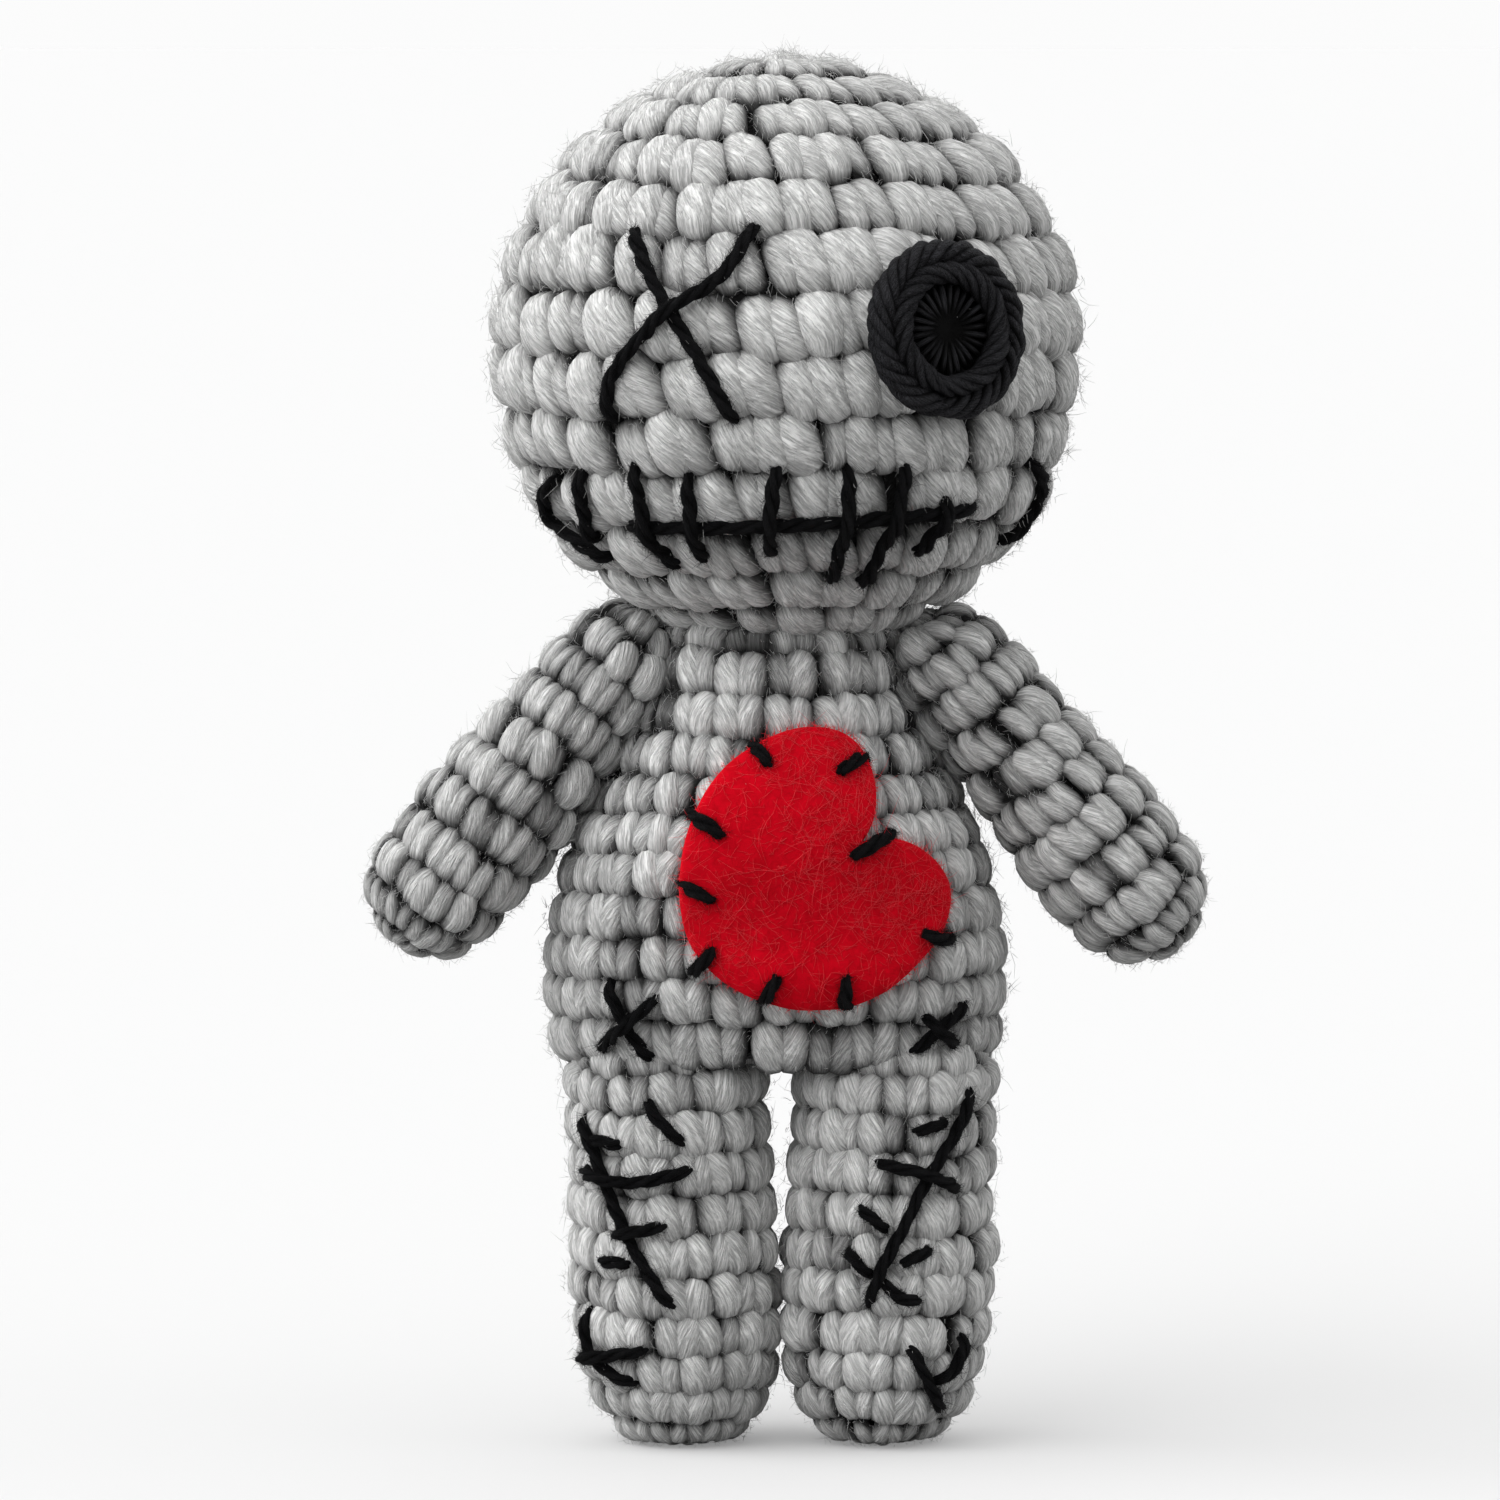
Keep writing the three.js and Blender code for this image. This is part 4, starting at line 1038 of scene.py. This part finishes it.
# Felt hairs: fine fibres of the felt that lie over its face and stand out from its cut edge.
# They are drawn out of the pressed sheet and stay fixed in it.
FELT_HAIRS = 2800
HAIR_HALVES = 0.019 * np.array((0.6, 1.0, 0.8, 0.3))
HAIR_LIFT = 0.03
EDGE_HAIR = 0.55
FACE_HAIR = 1.7
rng = np.random.default_rng(91)
ring = (np.sqrt(rng.uniform(0, 1.3, FELT_HAIRS)) * len(grow)).astype(int)
ring = np.minimum(ring, len(grow) - 1)
room = np.linalg.norm(outline - heart_middle, axis=1) ** 2
spot = rng.choice(len(outline), FELT_HAIRS, p=room / room.sum())
root, away = upper[ring, spot], felt_out[ring, spot]
edge_way = unit(upper[-1, spot] - upper[-3, spot])
sway = unit(np.cross(away, rng.normal(0, 1, (FELT_HAIRS, 3))))
at_edge = (ring > FLAT_RINGS)[:, None]
first = unit(np.where(at_edge, edge_way + 0.5 * sway, sway + 0.10 * away))
then = unit(first + 0.9 * np.cross(away, first) * rng.normal(0, 1, (FELT_HAIRS, 1)) - 0.12 * away)
reach = np.where(at_edge, EDGE_HAIR, FACE_HAIR) * rng.gamma(3.0, 0.33, (FELT_HAIRS, 1))
hairs = bowed_hairs(root + HAIR_LIFT * away, away, first, then, reach, HAIR_HALVES)
heart_hair = mesh_piece("felt_heart_hair", [tubes(hairs, FIBRE_SIDES, rng)], red_hair)
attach(heart_hair, "torso")
flat_x, flat_y = outline.T
pattern_area = 0.5 * abs(np.sum(flat_x * np.roll(flat_y, -1) - flat_y * np.roll(flat_x, -1)))

# Heart stitches: nine short black whip stitches that go in through the felt and over its edge.
# Each lies across the cut edge with its outer end in the crochet.
WHIP_HALF = 0.78
WHIP_SHARES = (0, 0.12, 0.3, 0.5, 0.88, 1)
WHIP_LIFTS = (-1.0, 0.9, 1.75, 2.0, 1.9, 0.6)
WHIP_BEYOND = 0.35
# Outer and inner end of each, across and up the front
HEART_STITCHES = (
    ((-3.2, 71.1), (-1.7, 69.2)),
    ((7.6, 69.8), (5.1, 68.4)),
    ((10.2, 62.6), (6.3, 60.7)),
    ((16.0, 51.9), (13.7, 52.8)),
    ((6.0, 46.0), (6.0, 48.8)),
    ((-2.4, 46.7), (-0.9, 48.9)),
    ((-9.2, 49.1), (-7.4, 51.4)),
    ((-10.1, 58.0), (-7.2, 56.6)),
    ((-9.3, 64.6), (-6.2, 62.7)),
)
rng = np.random.default_rng(101)
for number, (outer, inner) in enumerate(HEART_STITCHES, 1):
    outer, inner = np.asarray(outer), np.asarray(inner)
    beyond = outer + WHIP_BEYOND * unit(outer - inner)
    share = np.linspace(0, 1, 40)
    path = beyond + (inner - beyond) * share[:, None]
    line, out = on_chest(path[:, 0], path[:, 1], np.interp(share, WHIP_SHARES, WHIP_LIFTS))
    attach(sewn_strand(f"heart_stitch_{number}", line, out, rng, WHIP_HALF), "torso")

# Stuffing: loose white fibre pushed into every piece until it is firm.
# It fills the hollows out of sight and takes the shape of the shell around it.
FILL_EASE = 0.6


def fill_material():
    """Loose fibre: white, soft and cloudy."""
    material, shader, add, link = new_material("white fibre fill", {"Roughness": 1.0})
    place = add("ShaderNodeTexCoord")
    cloud = add("ShaderNodeTexNoise", Scale=400.0, Detail=6.0, Distortion=2.0)
    ramp = add("ShaderNodeValToRGB")
    ramp.color_ramp.elements[0].color = (0.62, 0.61, 0.58, 1)
    ramp.color_ramp.elements[1].color = (0.92, 0.91, 0.88, 1)
    link(place.outputs["Object"], cloud.inputs["Vector"])
    link(cloud.outputs["Fac"], ramp.inputs["Fac"])
    link(ramp.outputs["Color"], shader.inputs["Base Color"])
    give_relief(shader, add, link, cloud.outputs["Fac"], strength=0.6, distance=0.0004)
    return material


fibre_fill = fill_material()
for body in ("head", "torso", "left_arm", "right_arm", "left_leg", "right_leg"):
    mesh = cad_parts[f"{body}_stuffing"].data.copy()
    mesh.name = f"{body}_fill"
    fill = in_scene(f"{body}_fill", mesh)
    corners = np.array([v.co for v in mesh.vertices])
    outward = np.array([n.vector for n in mesh.vertex_normals])
    mesh.vertices.foreach_set("co", (corners - FILL_EASE * MM * outward).astype(np.float32).ravel())
    mesh.materials.clear()
    mesh.materials.append(fibre_fill)
    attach(fill, body)
    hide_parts(f"{body}_stuffing")

# Floor, light and camera: a plain white floor, one broad soft light from the upper left and an even sky.
# The camera stands in front of the doll, a little above its middle, with a long lens.
# A share of the floor's white is its own glow to rays that look, so the soft shadow stays pale.
FLOOR_SIZE = 400.0
CAMERA_REACH = 0.9
CAMERA_RISE = np.radians(4.5)
AIM = np.array((-0.0036, STAND_BACK * MM, 0.0697))
FRAME_WIDTH = 0.150
SENSOR = 36.0
PAPER = 0.775
BOUNCE = 0.27
GLOW = 0.25
WINDOW = 3.2
WINDOW_LEAN = np.radians(68)
CEILING = 1.75
CARD = 0.62
CARD_LEAN = np.radians(75)
SKY = 0.22
FLOOR_GAIN = 1.035
# The tone of the lit floor far off, which the sky takes up so that no edge shows between them
floor_light = (WINDOW * np.cos(WINDOW_LEAN) + CEILING + CARD * np.cos(CARD_LEAN)) / np.pi + SKY
far_floor = FLOOR_GAIN * PAPER * floor_light


def seen(add, link):
    """One for rays that look: from the camera, and on from a shiny or clear surface."""
    path = add("ShaderNodeLightPath")
    rays = path.outputs["Is Camera Ray"]
    for kind in ("Is Glossy Ray", "Is Transmission Ray"):
        either = add("ShaderNodeMath", operation="MAXIMUM")
        link(rays, either.inputs[0])
        link(path.outputs[kind], either.inputs[1])
        rays = either.outputs[0]
    return rays


bpy.ops.mesh.primitive_plane_add(size=FLOOR_SIZE, location=(0, 0, 0))
floor = bpy.context.object
floor.name = "floor"
paper, paper_shader, paper_add, paper_link = new_material("white paper floor", {
    "Roughness": 0.9, "Specular IOR Level": 0.0, "Emission Strength": 1.0})
paper_seen = seen(paper_add, paper_link)
paper_tone = paper_add("ShaderNodeMix", data_type="RGBA")
paper_tone.inputs["A"].default_value = (BOUNCE, BOUNCE, BOUNCE, 1)
paper_tone.inputs["B"].default_value = (*[(1 - GLOW) * PAPER] * 3, 1)
paper_glow = paper_add("ShaderNodeMix", data_type="RGBA")
paper_glow.inputs["A"].default_value = (0, 0, 0, 1)
paper_glow.inputs["B"].default_value = (*[GLOW * far_floor] * 3, 1)
paper_link(paper_seen, paper_tone.inputs["Factor"])
paper_link(paper_seen, paper_glow.inputs["Factor"])
paper_link(paper_tone.outputs["Result"], paper_shader.inputs["Base Color"])
paper_link(paper_glow.outputs["Result"], paper_shader.inputs["Emission Color"])
floor.data.materials.append(paper)

LIGHTS = (
    ("broad window", WINDOW, 90, (WINDOW_LEAN, 0, np.radians(-66))),
    ("ceiling", CEILING, 120, (0, 0, 0)),
    ("white card", CARD, 60, (CARD_LEAN, 0, np.radians(80))),
)
for name, energy, breadth, lean in LIGHTS:
    lamp = bpy.data.lights.new(name, "SUN")
    lamp.energy = energy
    lamp.angle = np.radians(breadth)
    in_scene(name, lamp).rotation_euler = lean

world = bpy.data.worlds.new("even sky")
bpy.context.scene.world = world
world.use_nodes = True
sky = world.node_tree
sky_add, sky_link = new_nodes(sky)
sky_light = sky.nodes["Background"]
sky_light.inputs["Color"].default_value = (1, 1, 1, 1)
sky_light.inputs["Strength"].default_value = SKY
sky_seen = sky_add("ShaderNodeBackground", Color=(*[far_floor] * 3, 1), Strength=1.0)
sky_mix = sky_add("ShaderNodeMixShader")
sky_link(seen(sky_add, sky_link), sky_mix.inputs["Fac"])
sky_link(sky_light.outputs[0], sky_mix.inputs[1])
sky_link(sky_seen.outputs[0], sky_mix.inputs[2])
sky_link(sky_mix.outputs[0], sky.nodes["World Output"].inputs["Surface"])

camera_data = bpy.data.cameras.new("camera")
camera = in_scene("camera", camera_data)
camera.location = AIM + CAMERA_REACH * np.array((0, -np.cos(CAMERA_RISE), np.sin(CAMERA_RISE)))
camera.rotation_euler = (np.pi / 2 - CAMERA_RISE, 0, 0)
camera_data.sensor_fit = "HORIZONTAL"
camera_data.sensor_width = SENSOR
camera_data.lens = SENSOR * CAMERA_REACH / FRAME_WIDTH
bpy.context.scene.camera = camera
bpy.context.scene.view_settings.view_transform = "Standard"
